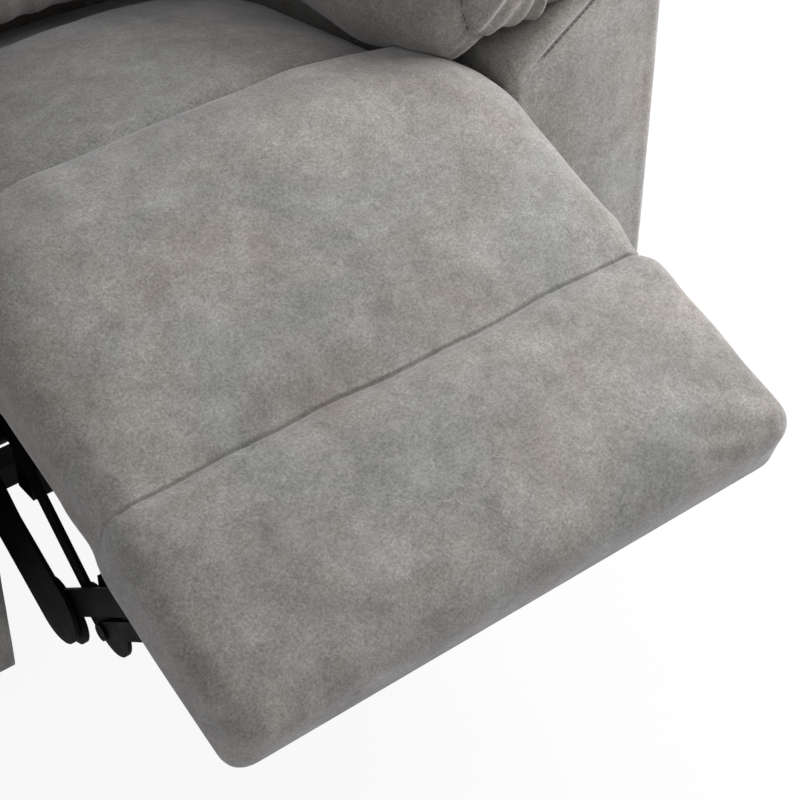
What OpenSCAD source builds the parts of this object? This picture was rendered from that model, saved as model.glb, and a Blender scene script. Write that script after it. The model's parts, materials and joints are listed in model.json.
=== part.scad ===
// Power recliner with its leg rest raised and its back upright.
// The chair faces -Y and stands on z = 0. Left is the sitter's left, on the +X side.
// Inside the modules y = 0 is the plane of the arms' front panels.

/* [Arms] */
// Clear width between the two arms
seat_w = 560; // [530:5:620]
// Width of one arm
arm_w = 187; // [175:1:215]
// Depth of an arm from its front panel to its rear panel
arm_len = 690; // [660:5:740]
// Height of an arm's underside above the floor
arm_base_h = 52; // [44:1:60]
// Height at which an arm's inner face would meet its sloped deck
arm_deck_h = 457.8; // [450:0.1:470]
// Slope of the deck under the arm pad, in degrees
arm_deck_slope = 33.2; // [30:0.1:36]
// Radius of the turn from the inner face to the deck
arm_inner_r = 18; // [15:1:24]
// Radius of an arm's crest
arm_crest_r = 55; // [50:1:60]
// Rounding of an arm's front and rear edges
arm_edge_r = 12; // [8:1:14]
// Thickness of an arm's padding and cover
arm_wall = 10; // [8:1:12]

/* [Arm pads] */
// Half width of an arm pad's section
pad_half_w = 134; // [131:1:138]
// Half height of an arm pad's section
pad_half_h = 82; // [76:1:90]
// Tilt of an arm pad's section, in degrees
pad_tilt = 14; // [10:1:16]
// Distance of an arm pad's middle from the arm's inner face
pad_mid_x = 53; // [50:1:57]
// Height of an arm pad's middle
pad_mid_h = 563; // [558:1:574]
// Distance of an arm pad's front end behind the front panel
pad_front_y = 14; // [10:1:45]
// Distance of an arm pad's rear end ahead of the arm's rear panel
pad_rear_gap = 8; // [4:1:20]
// Where the pad starts to draw back from over the seat
pad_draw_y = 325; // [300:5:330]
// Length over which it draws back
pad_draw_len = 45; // [35:1:50]

/* [Leg rest] */
// Slope of the raised leg rest, in degrees
leg_slope = 21.5; // [18:0.5:24]
// Height of the pad's crest line at the front panel plane
crest_h = 464; // [455:1:472]
// Thickness of the leg rest's padding
leg_pad_t = 85; // [75:1:90]
// Thickness of the leg rest's board
leg_board_t = 12; // [9:1:15]
// Thickness of bracket flanges and of pressed steel plates
steel_t = 3; // [2.5:0.5:4]
// How far behind the front panel plane the board's back hangs when folded
leg_back_y = 18; // [14:1:20]
// Depth of the fold line below the crest line
fold_depth = 40; // [36:1:44]
// Length of the leg rest from the fold line to its tip
leg_len = 353; // [335:1:356]
// Length of the chaise pad's front part
chaise_len = 146.5; // [130:0.5:160]
// Gap between the chaise pad and each arm
chaise_gap = 2.5; // [2:0.5:15]
// How far the footrest pad reaches past the arms' inner faces on each side
footrest_over = 3; // [-5:1:8]
// Gap between two soft pads at their seam
seam_gap = 1; // [0.6:0.1:2]

/* [Linkage] */
// Thickness of one link
link_t = 4; // [3:0.5:4.5]
// Gap between two layers of links
link_gap = 3; // [2.8:0.1:3.5]
// Gap between the base side plate and the arm
side_gap = 5; // [4:0.5:6]
// Centre distance of the rear and front links
link_len = 200; // [195:1:205]
// Angle of the raised rear link below level, in degrees
link_drop = 43.5; // [42:0.5:46]
// Place of the elbow pivot behind the front panel plane
elbow_y = -32; // [-40:1:-28]
// Height of the raised elbow pivot
elbow_h = 140; // [134:1:146]
// Place of the front link's pivots along the cross link
front_share = 0.3; // [0.29:0.01:0.33]
// Length of the toe link's arm on the bracket
toe_len = 30; // [30:1:34]
// Radius of the pivot pins
pin_r = 5; // [4:0.5:5.5]
// Running clearance of a pin in its bore
pin_play = 0.05; // [0.02:0.01:0.09]
// Radius of the crank on the torque tube
crank_r = 80; // [76:1:84]
// Radius of the torque tube
torque_tube_r = 12; // [10:1:13]
// Distance of the torque tube from the rear pivot
torque_tube_out = 42; // [38:1:43]

/* [Seat and back] */
// Place of the back pivot behind the front panel plane
back_y = 470; // [465:1:480]
// Height of the back pivot
back_h = 370; // [366:1:376]
// Angle of the upright back from vertical, in degrees
back_tilt = 16; // [14:1:18]
// Recline of the back, in degrees
recline = 35; // [30:1:36]
// Length of the seat's swing links
swing_len = 95; // [90:1:98]
// Place of the front swing link's seat pivot
swing_y = 250; // [244:1:256]
// Height of the front swing link's seat pivot
swing_h = 262; // [258:1:266]
// Radius of the crank below the back pivot
tail_r = 85; // [80:1:88]
// Height of the seat frame's underside
frame_h = 308; // [306:1:312]
// Depth of the seat frame's rails
rail_h = 42; // [38:1:44]
// Thickness of the seat frame's rails
rail_t = 25; // [20:1:28]
// Gap between the seat cushion and each of the seat's side plates
cushion_gap = 3; // [3:1:10]
// Height of the seat cushion's front edge
cushion_h = 470; // [462:1:474]
// Fall of the seat cushion from front to rear
cushion_fall = 42; // [36:1:48]
// Where the chaise pad meets the seat cushion
chaise_seam_y = 113; // [108:1:118]
// Rear end of the seat cushion
cushion_rear_y = 452; // [446:1:454]
// Height of the back along its slope
back_len = 668; // [650:1:700]
// Distance of the back cushions' faces ahead of the back pivot
back_face = 100; // [96:1:104]
// Gap between the lumbar cushion and each of the seat's side plates
lumbar_gap = 4; // [3:1:8]
// Gap between the upper back cushions and each arm
back_gap = 8; // [7:1:16]

/* [Actuators] */
// Distance of each actuator from the middle plane
motor_x = 90; // [84:1:96]
// Radius of an actuator's rod
rod_r = 9; // [8:0.5:10]
// Width of an actuator's square tube
motor_w = 36; // [34:1:38]
// Thickness of a crank plate
crank_t = 8; // [6:1:9]
// Thickness of one ear of a rod's fork
ear_t = 4; // [3:0.5:5]

/* [Controls] */
// Length of the control plate
control_len = 124; // [116:1:132]
// Height of the control plate
control_h = 40; // [36:1:44]
// Radius of a push button
button_r = 8; // [7:0.5:9]
// Pitch of the push buttons
button_pitch = 26; // [24:1:28]
// Travel of a push button
button_travel = 1.5; // [1:0.1:1.8]

/* [Hidden] */
$fn = 48;

steel = "#1d1d1f";
suede = "#8d8984";
wood = "#c9a46c";
dark_cloth = "#2b2a29";

// How far a cut runs past what it cuts
overrun = 1;
// Gap between two parts that almost touch
near_gap = 0.3;

// Fold line, and the frame of the leg rest: s runs out along it and h up through it
leg_total_t = leg_pad_t + leg_board_t + steel_t;
fold_y = fold_depth + leg_back_y - leg_total_t;
foot_y = fold_y - fold_depth * sin(leg_slope);
fold_p = [fold_y, crest_h + foot_y * tan(leg_slope) - fold_depth * cos(leg_slope)];
fold_angle = 90 - leg_slope;
out_dir = [-cos(leg_slope), -sin(leg_slope)];
up_dir = [-sin(leg_slope), cos(leg_slope)];
function leg_at(s, h) = fold_p + s * out_dir + h * up_dir;
pad_low = fold_depth - leg_pad_t;
board_low = pad_low - leg_board_t;
flange_low = board_low - steel_t;

// Pivots of the raised leg rest's linkage, as [y, z]
link_dir = [-cos(link_drop), -sin(link_drop)];
elbow_p = [elbow_y, elbow_h];
rear_p = elbow_p - link_len * link_dir;
cross_v = fold_p - rear_p;
front_p = rear_p + front_share * cross_v;
mid_p = elbow_p + front_share * cross_v;
toe_v = toe_len * out_dir;
toe_p = mid_p + toe_v;
heel_p = fold_p + link_len * link_dir;
ball_p = heel_p + toe_v;

// Pin at the end of the torque tube's slotted crank, as high at both ends of its travel
crank_angle = 90 - fold_angle / 2;
crank_p = rear_p - crank_r * [cos(crank_angle), sin(crank_angle)];
torque_p = rear_p + torque_tube_out * link_dir;
crank_travel = 2 * crank_r * sin(fold_angle / 2);

// Pivots of the back and of the seat's hangers
half_swing = recline / 2;
swing_v = swing_len * [-sin(half_swing), cos(half_swing)];
back_p = [back_y, back_h];
back_hang_p = back_p + swing_v;
swing_p = [swing_y, swing_h];
swing_hang_p = swing_p + swing_v;
tail_p = back_p + tail_r * [sin(half_swing), -cos(half_swing)];
tail_travel = 2 * tail_r * sin(half_swing);

// Frame of the back: u runs up along it and v forward out of it
back_up = [sin(back_tilt), cos(back_tilt)];
back_out = [-cos(back_tilt), sin(back_tilt)];
function back_at(u, v) = back_p + u * back_up + v * back_out;

// Inner face of each layer of links, counted inward from the arm
function layer_x(n) = seat_w / 2 - side_gap - link_t - n * (link_t + link_gap);
base_layer = 0;
swing_layer = 1;
seat_layer = 2;
rear_layer = 3;
cross_layer = 4;
front_layer = 5;
inside_x = layer_x(front_layer) - link_gap;
chaise_w = seat_w - 2 * chaise_gap;
footrest_w = seat_w + 2 * footrest_over;
cushion_w = 2 * (layer_x(seat_layer) - cushion_gap);
lumbar_half_w = layer_x(seat_layer) - lumbar_gap;
back_half_w = seat_w / 2 - back_gap;

// The whole chair is centred on y = 0
bullnose_r = 46;
tip_y = leg_at(leg_len - bullnose_r, fold_depth - bullnose_r)[0] - bullnose_r;
cover_t = 8;
cover_v = -76;
rear_y = back_at(back_len, cover_v - cover_t)[0];
frame_shift = -(tip_y + rear_y) / 2;

module in_frame() {
    translate([0, frame_shift, 0]) children();
}

// Side 1 is the left side and side -1 the right
module on_side(side) {
    if (side > 0) children();
    else mirror([1, 0, 0]) children();
}

// A flat outline drawn in [y, z], made into a plate at x
module plate(x, t = link_t) {
    translate([x, 0, 0]) rotate([90, 0, 90]) linear_extrude(t) children();
}

// A pin or bore along x
module pin(p, x, length, r = pin_r) {
    translate([x, p[0], p[1]]) rotate([0, 90, 0]) cylinder(r = r, h = length);
}

module bore(p, r = pin_r + pin_play) {
    pin(p, -seat_w, 2 * seat_w, r);
}

// A flat bar with round ends between two pivots
module bar2d(a, b, w) {
    d = b - a;
    translate(a) rotate(atan2(d[1], d[0])) {
        translate([0, -w / 2]) square([norm(d), w]);
        circle(r = w / 2);
        translate([norm(d), 0]) circle(r = w / 2);
    }
}

// A flat bar between two pivots that is wider at one end than at the other
module taper2d(a, b, ra, rb) {
    d = b - a;
    turn = acos((ra - rb) / norm(d));
    way = atan2(d[1], d[0]);
    polygon([a + ra * [cos(way + turn), sin(way + turn)], a + ra * [cos(way - turn), sin(way - turn)],
        b + rb * [cos(way - turn), sin(way - turn)], b + rb * [cos(way + turn), sin(way + turn)]]);
    translate(a) circle(r = ra);
    translate(b) circle(r = rb);
}

// A square tube along x, hollow where its wall is given
module cross_tube(half_len, p, size, wall = 0) {
    translate([-half_len, p[0] - size[0] / 2, p[1] - size[1] / 2]) difference() {
        cube([2 * half_len, size[0], size[1]]);
        if (wall > 0)
            translate([-overrun, wall, wall])
                cube([2 * half_len + 2 * overrun, size[0] - 2 * wall, size[1] - 2 * wall]);
    }
}

// A pin fixed in one layer of links and headed past another
rivet_lip = 3;
module rivet(p, from, to) {
    way = to > from ? -1 : 1;
    head_t = link_gap - 2 * near_gap;
    root = layer_x(from) + link_t / 2;
    head = (to > from ? layer_x(to) : layer_x(to) + link_t) + way * near_gap;
    tip = head + way * head_t / 2;
    pin(p, min(root, tip), abs(tip - root));
    pin(p, min(head, head + way * head_t), head_t, pin_r + rivet_lip);
}

function arc_pts(c, r, a0, a1, n) =
    [for (i = [0:n]) let (a = a0 + (a1 - a0) * i / n) c + r * [cos(a), sin(a)]];

// Skin over rings of equal point counts, closed by a fan at each end
module loft(rings) {
    n = len(rings);
    m = len(rings[0]);
    ends = [for (r = [rings[0], rings[n - 1]]) [for (k = [0:2]) let (s = [for (p = r) p[k]])
        s * [for (p = r) 1] / m]];
    points = concat([for (r = rings) for (p = r) p], ends);
    sides = [for (i = [0:n - 2]) for (j = [0:m - 1]) let (k = (j + 1) % m)
        each [[i * m + j, (i + 1) * m + k, i * m + k], [i * m + j, (i + 1) * m + j, (i + 1) * m + k]]];
    first = [for (j = [0:m - 1]) [n * m, j, (j + 1) % m]];
    last = [for (j = [0:m - 1]) [n * m + 1, (n - 1) * m + (j + 1) % m, (n - 1) * m + j]];
    polyhedron(points, concat(sides, first, last));
}

// Outline of a pad from its rear end to its front end, in [length, height]
function pad_outline(length, t, rear_r, front_r, low_r) = concat(
    arc_pts([low_r, low_r], low_r, 180, 270, 3),
    [[length / 2, 0]],
    arc_pts([length - low_r, low_r], low_r, 270, 360, 3),
    arc_pts([length - front_r, t - front_r], front_r, 0, 90, 5),
    [for (q = crown_shares) [rear_r + (length - front_r - rear_r) * q, t]],
    arc_pts([rear_r, t - rear_r], rear_r, 90, 180, 4));
crown_shares = [0.85, 0.65, 0.4, 0.18];

// Places across a pad as shares of its flat middle, and the turns of its rounded sides
middle_shares = [-0.72, -0.36, 0, 0.36, 0.72];
side_turns = [76, 56, 36, 18, 0];
function across_places(half, side_r) = let (flat = half - side_r) concat(
    [for (a = side_turns) [-flat - side_r * sin(a), side_r * (1 - cos(a))]],
    [for (q = middle_shares) [flat * q, 0]],
    [for (i = [len(side_turns) - 1:-1:0]) let (a = side_turns[i])
        [flat + side_r * sin(a), side_r * (1 - cos(a))]]);

// A pad with a crown, drawn-in sides and rounded ends. The ends draw in by their own shares.
module pad(w, length, t, crown, rear_r, front_r, low_r, side_r, ends = [1, 1]) {
    base = pad_outline(length, t, rear_r, front_r, low_r);
    loft([for (place = across_places(w / 2, side_r))
        let (x = place[0], inset = place[1], across = 1 - pow(2 * x / w, 2))
        [for (p = base) let (along = 1 - pow(2 * p[0] / length - 1, 2), lift = crown * across * along / t)
            [x, inset * ends[0] + p[0] * (1 - inset * (ends[0] + ends[1]) / length),
             t / 2 + (p[1] - t / 2) * (1 - inset / t) + p[1] * lift]]]);
}

// --- Arms and base

arm_crest_x = arm_w - arm_crest_r;
deck_rise = 1 / cos(arm_deck_slope);
arm_inner_c = [arm_inner_r, arm_deck_h + arm_inner_r * (tan(arm_deck_slope) - deck_rise)];
arm_crest_c = [arm_crest_x, arm_deck_h + arm_crest_x * tan(arm_deck_slope) - arm_crest_r * deck_rise];

// Section of an arm drawn in by t, with its foot at a given height
function arm_section(t, foot) = concat([[t, foot]],
    arc_pts(arm_inner_c, arm_inner_r - t, 180, 90 + arm_deck_slope, 3),
    arc_pts(arm_crest_c, arm_crest_r - t, 90 + arm_deck_slope, 0, 8),
    [[arm_w - t, foot]]);

function arm_ring(t, y) = [for (p = arm_section(t, arm_base_h)) [seat_w / 2 + p[0], y, p[1]]];

bolt_r = 4;
bolt_play = 0.3;
bolt_ys = [150, 330, 590];
bolt_h = 72;
post_t = 24;
frame_play = 0.4;

module arm_bolt_holes() {
    for (y = bolt_ys) translate([seat_w / 2 - overrun, y, bolt_h]) rotate([0, 90, 0])
        cylinder(r = bolt_r + bolt_play, h = arm_wall + post_t + 2 * overrun);
}

module arm_cover() {
    edge = [for (a = [90:-30:0]) [arm_edge_r * (1 - cos(90 - a)), arm_edge_r * (1 - sin(90 - a))]];
    difference() {
        loft(concat([for (e = edge) arm_ring(e[1], e[0])],
            [for (i = [len(edge) - 1:-1:0]) arm_ring(edge[i][1], arm_len - edge[i][0])]));
        translate([seat_w / 2, arm_len - arm_wall, 0]) rotate([90, 0, 0])
            linear_extrude(arm_len - 2 * arm_wall) polygon(arm_section(arm_wall, arm_base_h + arm_wall));
        arm_bolt_holes();
    }
}

module arm_cover_left() color(suede) in_frame() arm_cover();

module arm_cover_right() color(suede) in_frame() on_side(-1) difference() {
    arm_cover();
    translate([seat_w / 2 + arm_w, control_y, control_mid_h]) control_box(bolt_play, 2 * overrun);
}

// Wooden frame inside an arm: two posts, a top and a bottom rail, and a mounting rail
module arm_frame(side) {
    low = arm_base_h + arm_wall + frame_play;
    inner = seat_w / 2 + arm_wall + frame_play;
    wide = arm_w - 2 * arm_wall - 2 * frame_play;
    front = arm_wall + frame_play;
    rear = arm_len - arm_wall - frame_play;
    top = arm_deck_h - arm_wall - post_t;
    on_side(side) difference() {
        union() {
            for (y = [front, rear - post_t]) translate([inner, y, low]) cube([wide, post_t, top - low]);
            for (z = [low, top - post_t]) translate([inner, front, z]) cube([wide, rear - front, post_t]);
        }
        for (z = [low, top - post_t]) translate([inner + 2 * post_t, front + 2 * post_t, z - overrun])
            cube([wide - 4 * post_t, rear - front - 4 * post_t, post_t + 2 * overrun]);
        arm_bolt_holes();
    }
}

module arm_frame_left() color(wood) in_frame() arm_frame(1);

module arm_frame_right() color(wood) in_frame() arm_frame(-1);

// Rounded section of an arm pad, tilted towards the seat
pad_round = 0.66;
pad_turns = 28;
function pad_ring(y, k, shift) =
    [for (i = [0:pad_turns - 1]) let (a = -360 * i / pad_turns, c = cos(a), s = sin(a),
        px = k * (pad_half_w - shift / 2) * sign(c) * pow(abs(c), pad_round),
        pz = k * pad_half_h * sign(s) * pow(abs(s), pad_round))
        [seat_w / 2 + pad_mid_x + shift / 2 + px * cos(pad_tilt) - pz * sin(pad_tilt), y,
         pad_mid_h + px * sin(pad_tilt) + pz * cos(pad_tilt)]];

// Ends of an arm pad: how far in, as a share of its end length, and how full
pad_end_len = 95;
pad_end_shares = [[0, 0.52], [0.05, 0.66], [0.17, 0.8], [0.4, 0.92], [0.7, 0.98], [1, 1]];
pad_draw_shares = [[0, 0], [0.25, 0.16], [0.5, 0.5], [0.75, 0.84], [1, 1]];

module arm_pad() {
    rear = arm_len - pad_rear_gap;
    shift = pad_half_w * cos(pad_tilt) + near_gap - pad_mid_x + pad_clear;
    difference() {
        loft(concat([for (e = pad_end_shares) pad_ring(pad_front_y + e[0] * pad_end_len, e[1], 0)],
            [for (e = pad_draw_shares) pad_ring(pad_draw_y + e[0] * pad_draw_len, 1, shift * e[1])],
            [for (i = [len(pad_end_shares) - 1:-1:0]) let (e = pad_end_shares[i])
                pad_ring(rear - e[0] * pad_end_len, e[1], shift)]));
        translate([seat_w / 2, arm_len + overrun, 0]) rotate([90, 0, 0])
            linear_extrude(arm_len + 2 * overrun) polygon(arm_section(-near_gap, arm_base_h));
    }
}
// Clearance of the drawn back pad from the back cushions' side planes
pad_clear = 6;

module arm_pad_left() color(suede) in_frame() arm_pad();

module arm_pad_right() color(suede) in_frame() on_side(-1) arm_pad();

// Steel side plate of the base with the two uprights that carry the seat
base_low = 26;
base_rail_h = 64;
base_front_y = 112;
base_rear_y = 654;
upright_w = 34;
upright_foot = 44;
hole_r = 24;

module upright2d(p, foot_y) {
    top = base_low + base_rail_h / 2;
    bar2d([foot_y - upright_foot, top], p, upright_w);
    bar2d([foot_y + upright_foot, top], p, upright_w);
    bar2d([foot_y, top], p, upright_w);
}

module base_plate(side) {
    x = layer_x(base_layer);
    lean = (back_hang_p[1] - base_low) * tan(half_swing) / 2;
    on_side(side) {
        difference() {
            union() {
                plate(x) {
                    translate([base_front_y, base_low]) square([base_rear_y - base_front_y, base_rail_h]);
                    upright2d(swing_hang_p, swing_hang_p[0]);
                    upright2d(back_hang_p, back_hang_p[0] + lean);
                }
                translate([x - base_flange, base_front_y, base_low])
                    cube([base_flange + link_t, base_rear_y - base_front_y, link_t]);
            }
            for (y = bolt_ys) pin([y, bolt_h], x - overrun, link_t + 2 * overrun, bolt_r + pin_play);
        }
        rivet(swing_hang_p, base_layer, swing_layer);
        rivet(back_hang_p, base_layer, swing_layer);
    }
}
base_flange = 26;

module base_plate_left() color(steel) in_frame() base_plate(1);

module base_plate_right() color(steel) in_frame() base_plate(-1);

base_tube = [28, 28];
base_tube_wall = 2;
base_front_tube_y = 250;
base_rear_tube_y = 622;

module base_tube_at(y) {
    cross_tube(layer_x(base_layer), [y, base_low + link_t + base_tube[1] / 2], base_tube,
        base_tube_wall);
}

module base_front_tube() color(steel) in_frame() base_tube_at(base_front_tube_y);

module base_rear_tube() color(steel) in_frame() base_tube_at(base_rear_tube_y);

// Plastic glides under the corners of the arms
glide_r = 24;
glide_foot_r = 20;
glide_in = 52;

module glides() color("#222222") in_frame()
    for (side = [1, -1], y = [glide_in, arm_len - glide_in])
        translate([side * (seat_w / 2 + arm_w / 2), y, 0])
            cylinder(r1 = glide_foot_r, r2 = glide_r, h = arm_base_h);

bolt_head_r = 7;
bolt_head_t = 4;
module base_bolts() color("#6f7072") in_frame() for (side = [1, -1], y = bolt_ys) on_side(side) {
    x = layer_x(base_layer);
    pin([y, bolt_h], x - bolt_head_t, seat_w / 2 - x + bolt_head_t + arm_wall + post_t, bolt_r);
    pin([y, bolt_h], x - bolt_head_t, bolt_head_t, bolt_head_r);
    pin([y, bolt_h], x + link_t, side_gap, bolt_head_r + bolt_play);
}

// --- Controls on the right arm's outer face

control_y = 190;
control_mid_h = 372;
control_t = 3;
control_depth = 15;
control_rim = 6;
button_len = 10;
button_stand = 2.4;
button_play = 0.05;

module stadium(length, h, t) {
    rotate([0, 90, 0]) linear_extrude(t) {
        square([h, length - h], center = true);
        for (k = [-1, 1]) translate([0, k * (length - h) / 2]) circle(r = h / 2);
    }
}

// The box behind the control plate, grown by a clearance
module control_box(play, deeper) {
    translate([-control_depth - deeper, 0, 0])
        stadium(control_len - 2 * control_rim + 2 * play, control_h - 2 * control_rim + 2 * play,
            control_depth + 2 * deeper);
}

button_count = 4;
function button_y(i) = (i - (button_count - 1) / 2) * button_pitch;

module at_buttons() {
    for (i = [0:button_count - 1]) translate([0, button_y(i), 0]) children();
}

module at_control() in_frame() on_side(-1)
    translate([seat_w / 2 + arm_w, control_y, control_mid_h]) children();

module control_plate() color("#1a1a1b") at_control() difference() {
    union() {
        control_box(0, 0);
        stadium(control_len, control_h, control_t);
    }
    at_buttons() translate([control_t - button_len, 0, 0]) rotate([0, 90, 0])
        cylinder(r = button_r + button_play, h = button_len + overrun);
}

module button(i) at_control() translate([0, button_y(i), 0])
    translate([control_t + button_stand - (button_len - button_travel - near_gap), 0, 0])
    rotate([0, 90, 0]) {
        cylinder(r = button_r, h = button_len - button_travel - near_gap - button_edge);
        translate([0, 0, button_len - button_travel - near_gap - button_edge])
            cylinder(r1 = button_r, r2 = button_r - button_edge, h = button_edge);
    }
button_edge = 0.8;

module button_leg_up() color("#3a3a3c") button(0);

module button_leg_down() color("#3a3a3c") button(1);

module button_back_down() color("#3a3a3c") button(2);

module button_back_up() color("#3a3a3c") button(3);

// Round socket on the rear tube for the supply's plug
inlet_size = [34, 30, 24];
inlet_r = 2.8;
inlet_ring_r = 8;
inlet_deep = 11;
module power_inlet() color("#161616") in_frame()
    translate([-motor_x, base_rear_tube_y + base_tube[0] / 2 + inlet_size[1] / 2,
        base_low + link_t + base_tube[1] / 2]) difference() {
        union() {
            cube(inlet_size, center = true);
            translate([0, inlet_size[1] / 2, 0]) rotate([-90, 0, 0])
                cylinder(r = inlet_ring_r, h = control_t);
        }
        translate([0, inlet_size[1] / 2 + control_t - inlet_deep, 0]) rotate([-90, 0, 0])
            cylinder(r = inlet_r, h = inlet_deep + overrun);
    }

// --- Seat

flange_y = [86, 432];
mid_tube_y = 192;
seat_rear_y = 380;
seat_rear_h = 250;
plate_edge = 16;
plate_in_share = 0.7;
// How far the plate stays ahead of and below the back pivot, clear of the back's tube
tail_room = [31, 39];
plate_in = plate_edge * plate_in_share;
plate_low = seat_rear_h - 2 * plate_edge;
module seat_plate(side) {
    x = layer_x(seat_layer);
    on_side(side) {
        difference() {
            union() {
                plate(x) polygon([front_p + [0, plate_in], [flange_y[0], frame_h],
                    [flange_y[1] - 2 * plate_edge, frame_h], back_p + [-3 * plate_edge / 2, plate_in],
                    back_p + [0, plate_in], back_p + [plate_in, 0], back_p - tail_room,
                    [seat_rear_y + plate_edge, seat_rear_h], [seat_rear_y + plate_edge, plate_low],
                    [seat_rear_y - plate_edge, plate_low], [seat_rear_y - 2 * plate_edge, swing_h],
                    swing_p - [0, plate_in], [mid_tube_y - plate_edge, swing_h - plate_in / 2],
                    rear_p - [0, plate_in], rear_p - [plate_in, 0], front_p - [plate_in, 0]]);
                for (p = [front_p, rear_p, swing_p, back_p]) pin(p, x, link_t, plate_edge);
            }
            bore(swing_p);
            bore(back_p);
            for (y = [mid_tube_y + 2 * hole_r, swing_y + 2 * hole_r])
                pin([y, frame_h - hole_r], x - overrun, link_t + 2 * overrun, hole_r / 2);
        }
        translate([inside_x - rail_t, flange_y[0], frame_h - link_t])
            cube([x - inside_x + rail_t + link_t, flange_y[1] - flange_y[0], link_t]);
        rivet(rear_p, seat_layer, rear_layer);
        rivet(front_p, seat_layer, front_layer);
    }
}

module seat_plate_left() color(steel) in_frame() seat_plate(1);

module seat_plate_right() color(steel) in_frame() seat_plate(-1);

frame_front_y = 48;
frame_rear_y = 432;
rail_joint = 0.2;

module seat_frame() color(wood) in_frame() {
    for (y = [frame_front_y, frame_rear_y - rail_t]) translate([-inside_x, y, frame_h])
        cube([2 * inside_x, rail_t, rail_h]);
    for (side = [1, -1]) on_side(side)
        translate([inside_x - rail_t, frame_front_y + rail_t + rail_joint, frame_h])
            cube([rail_t, frame_rear_y - frame_front_y - 2 * rail_t - 2 * rail_joint, rail_h]);
}

front_board_t = 18;
front_board_low = 247;
module seat_front_board() color(dark_cloth) in_frame()
    translate([-inside_x, frame_front_y - front_board_t - near_gap, front_board_low])
        cube([2 * inside_x, front_board_t, frame_h + rail_h - front_board_low]);

front_tube = [25, 32];
front_tube_y = 33;
module seat_front_tube() color(steel) in_frame() {
    top = front_board_low - near_gap;
    cross_tube(inside_x, [front_tube_y, top - front_tube[1] / 2], front_tube, base_tube_wall);
    for (side = [1, -1]) translate([side * inside_x / 2 - front_tube[0] / 2,
        frame_front_y + near_gap, top - steel_t])
        cube([front_tube[0], steel_t, frame_h - top + steel_t - near_gap]);
    for (side = [1, -1]) translate([side * inside_x / 2 - front_tube[0] / 2,
        front_tube_y, top - steel_t]) cube([front_tube[0],
        frame_front_y + near_gap + steel_t - front_tube_y, steel_t]);
}

seat_tube = [28, 24];
module seat_mid_tube() color(steel) in_frame() {
    half = layer_x(seat_layer);
    z = frame_h - link_t - near_gap - seat_tube[1] / 2;
    cross_tube(half, [mid_tube_y, z], seat_tube, base_tube_wall);
}

module seat_rear_tube() color(steel) in_frame()
    cross_tube(layer_x(seat_layer), [seat_rear_y, seat_rear_h - seat_tube[1] / 2], seat_tube,
        base_tube_wall);

// Sinuous springs between the front and rear rails
spring_r = 2;
spring_rows = 5;
spring_pitch = 84;
spring_loops = 9;
spring_half = 20;
spring_steps = 6;
module spring_row() {
    length = frame_rear_y - frame_front_y - rail_t;
    n = spring_loops * spring_steps;
    z = frame_h + rail_h + near_gap + spring_r;
    loft([for (i = [0:n]) let (y = frame_front_y + rail_t / 2 + length * i / n,
        x = spring_half * sin(360 * i / spring_steps),
        slope = spring_half * 2 * PI * spring_loops / length * cos(360 * i / spring_steps),
        d = [1, -slope] / norm([1, slope]))
        [for (a = [315:-90:45]) [x + spring_r * cos(a) * d[0], y + spring_r * cos(a) * d[1],
            z + spring_r * sin(a)]]]);
}

module seat_springs() color("#8b8d90") in_frame()
    for (i = [0:spring_rows - 1]) translate([(i - (spring_rows - 1) / 2) * spring_pitch, 0, 0])
        spring_row();

// The seat cushion slopes back and its sides are lower than its crown
cushion_low = frame_h + rail_h + 2 * near_gap + 2 * spring_r;
cushion_crown = 14;
cushion_edge_r = 18;
cushion_rear_r = 30;
cushion_side_r = 40;
cushion_side_drop = 34;

module seat_cushion() color(suede) in_frame() {
    start = chaise_seam_y + seam_gap;
    length = cushion_rear_y - start;
    t = cushion_h - cushion_low;
    half = cushion_w / 2;
    base = pad_outline(length, t, cushion_edge_r, cushion_rear_r, cushion_edge_r / 2);
    loft([for (place = across_places(half, cushion_side_r))
        let (x = place[0], inset = place[1], q = abs(x / half))
        [for (p = base) let (along = p[0] / length, up = p[1] / t,
            lift = cushion_crown * (1 - q * q) * sin(180 * along),
            drop = cushion_side_drop * pow(q, 3) + cushion_fall * along)
            [x, start + length / 2 + (p[0] - length / 2) * (1 - inset / length),
             cushion_low + inset / 3 * (1 - up) + up * (t + lift - drop - inset / 3)]]]);
}

// Rear part of the chaise pad: a lip over the fold line and a body on the seat frame
lip_rise = 4;
chaise_crown = 8;
module chaise_rear() color(suede) in_frame() {
    lip = fold_p + [near_gap, near_gap];
    crest = leg_at(-near_gap, fold_depth);
    rear = chaise_seam_y;
    low = frame_h + rail_h + near_gap + 2 * spring_r + near_gap;
    back = leg_back_y + lip_rise;
    half = chaise_w / 2;
    edge = [lip + [0, lip_rise], [back, fold_p[1] + lip_rise], [back, low], [rear - cushion_edge_r / 2, low],
        [rear, low + cushion_edge_r / 2]];
    top = concat(arc_pts([rear - cushion_edge_r, cushion_h + lip_rise - cushion_edge_r],
        cushion_edge_r, 0, 80, 4), [for (q = top_shares) let (y = rear * q[0])
        [y, crest_h + q[1] * (cushion_h + lip_rise + near_gap - crest_h)]], [crest]);
    mid = [(fold_p[0] + rear) / 2, (low + crest_h) / 2 + lip_rise];
    loft([for (place = across_places(half, 2 * cushion_edge_r))
        let (x = place[0], inset = place[1], across = 1 - pow(x / half, 2))
        [for (p = concat(edge, top)) let (up = max(0, p[1] - mid[1]) / (crest_h - mid[1]))
            [x, p[0], p[1] - inset * up + chaise_crown * across * up
                * sin(180 * min(1, max(0, (p[0] - crest[0]) / (rear - crest[0]))))]]]);
}
top_shares = [[0.62, 1], [0.3, 0.72], [0, 0.1]];

// --- Actuators

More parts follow.
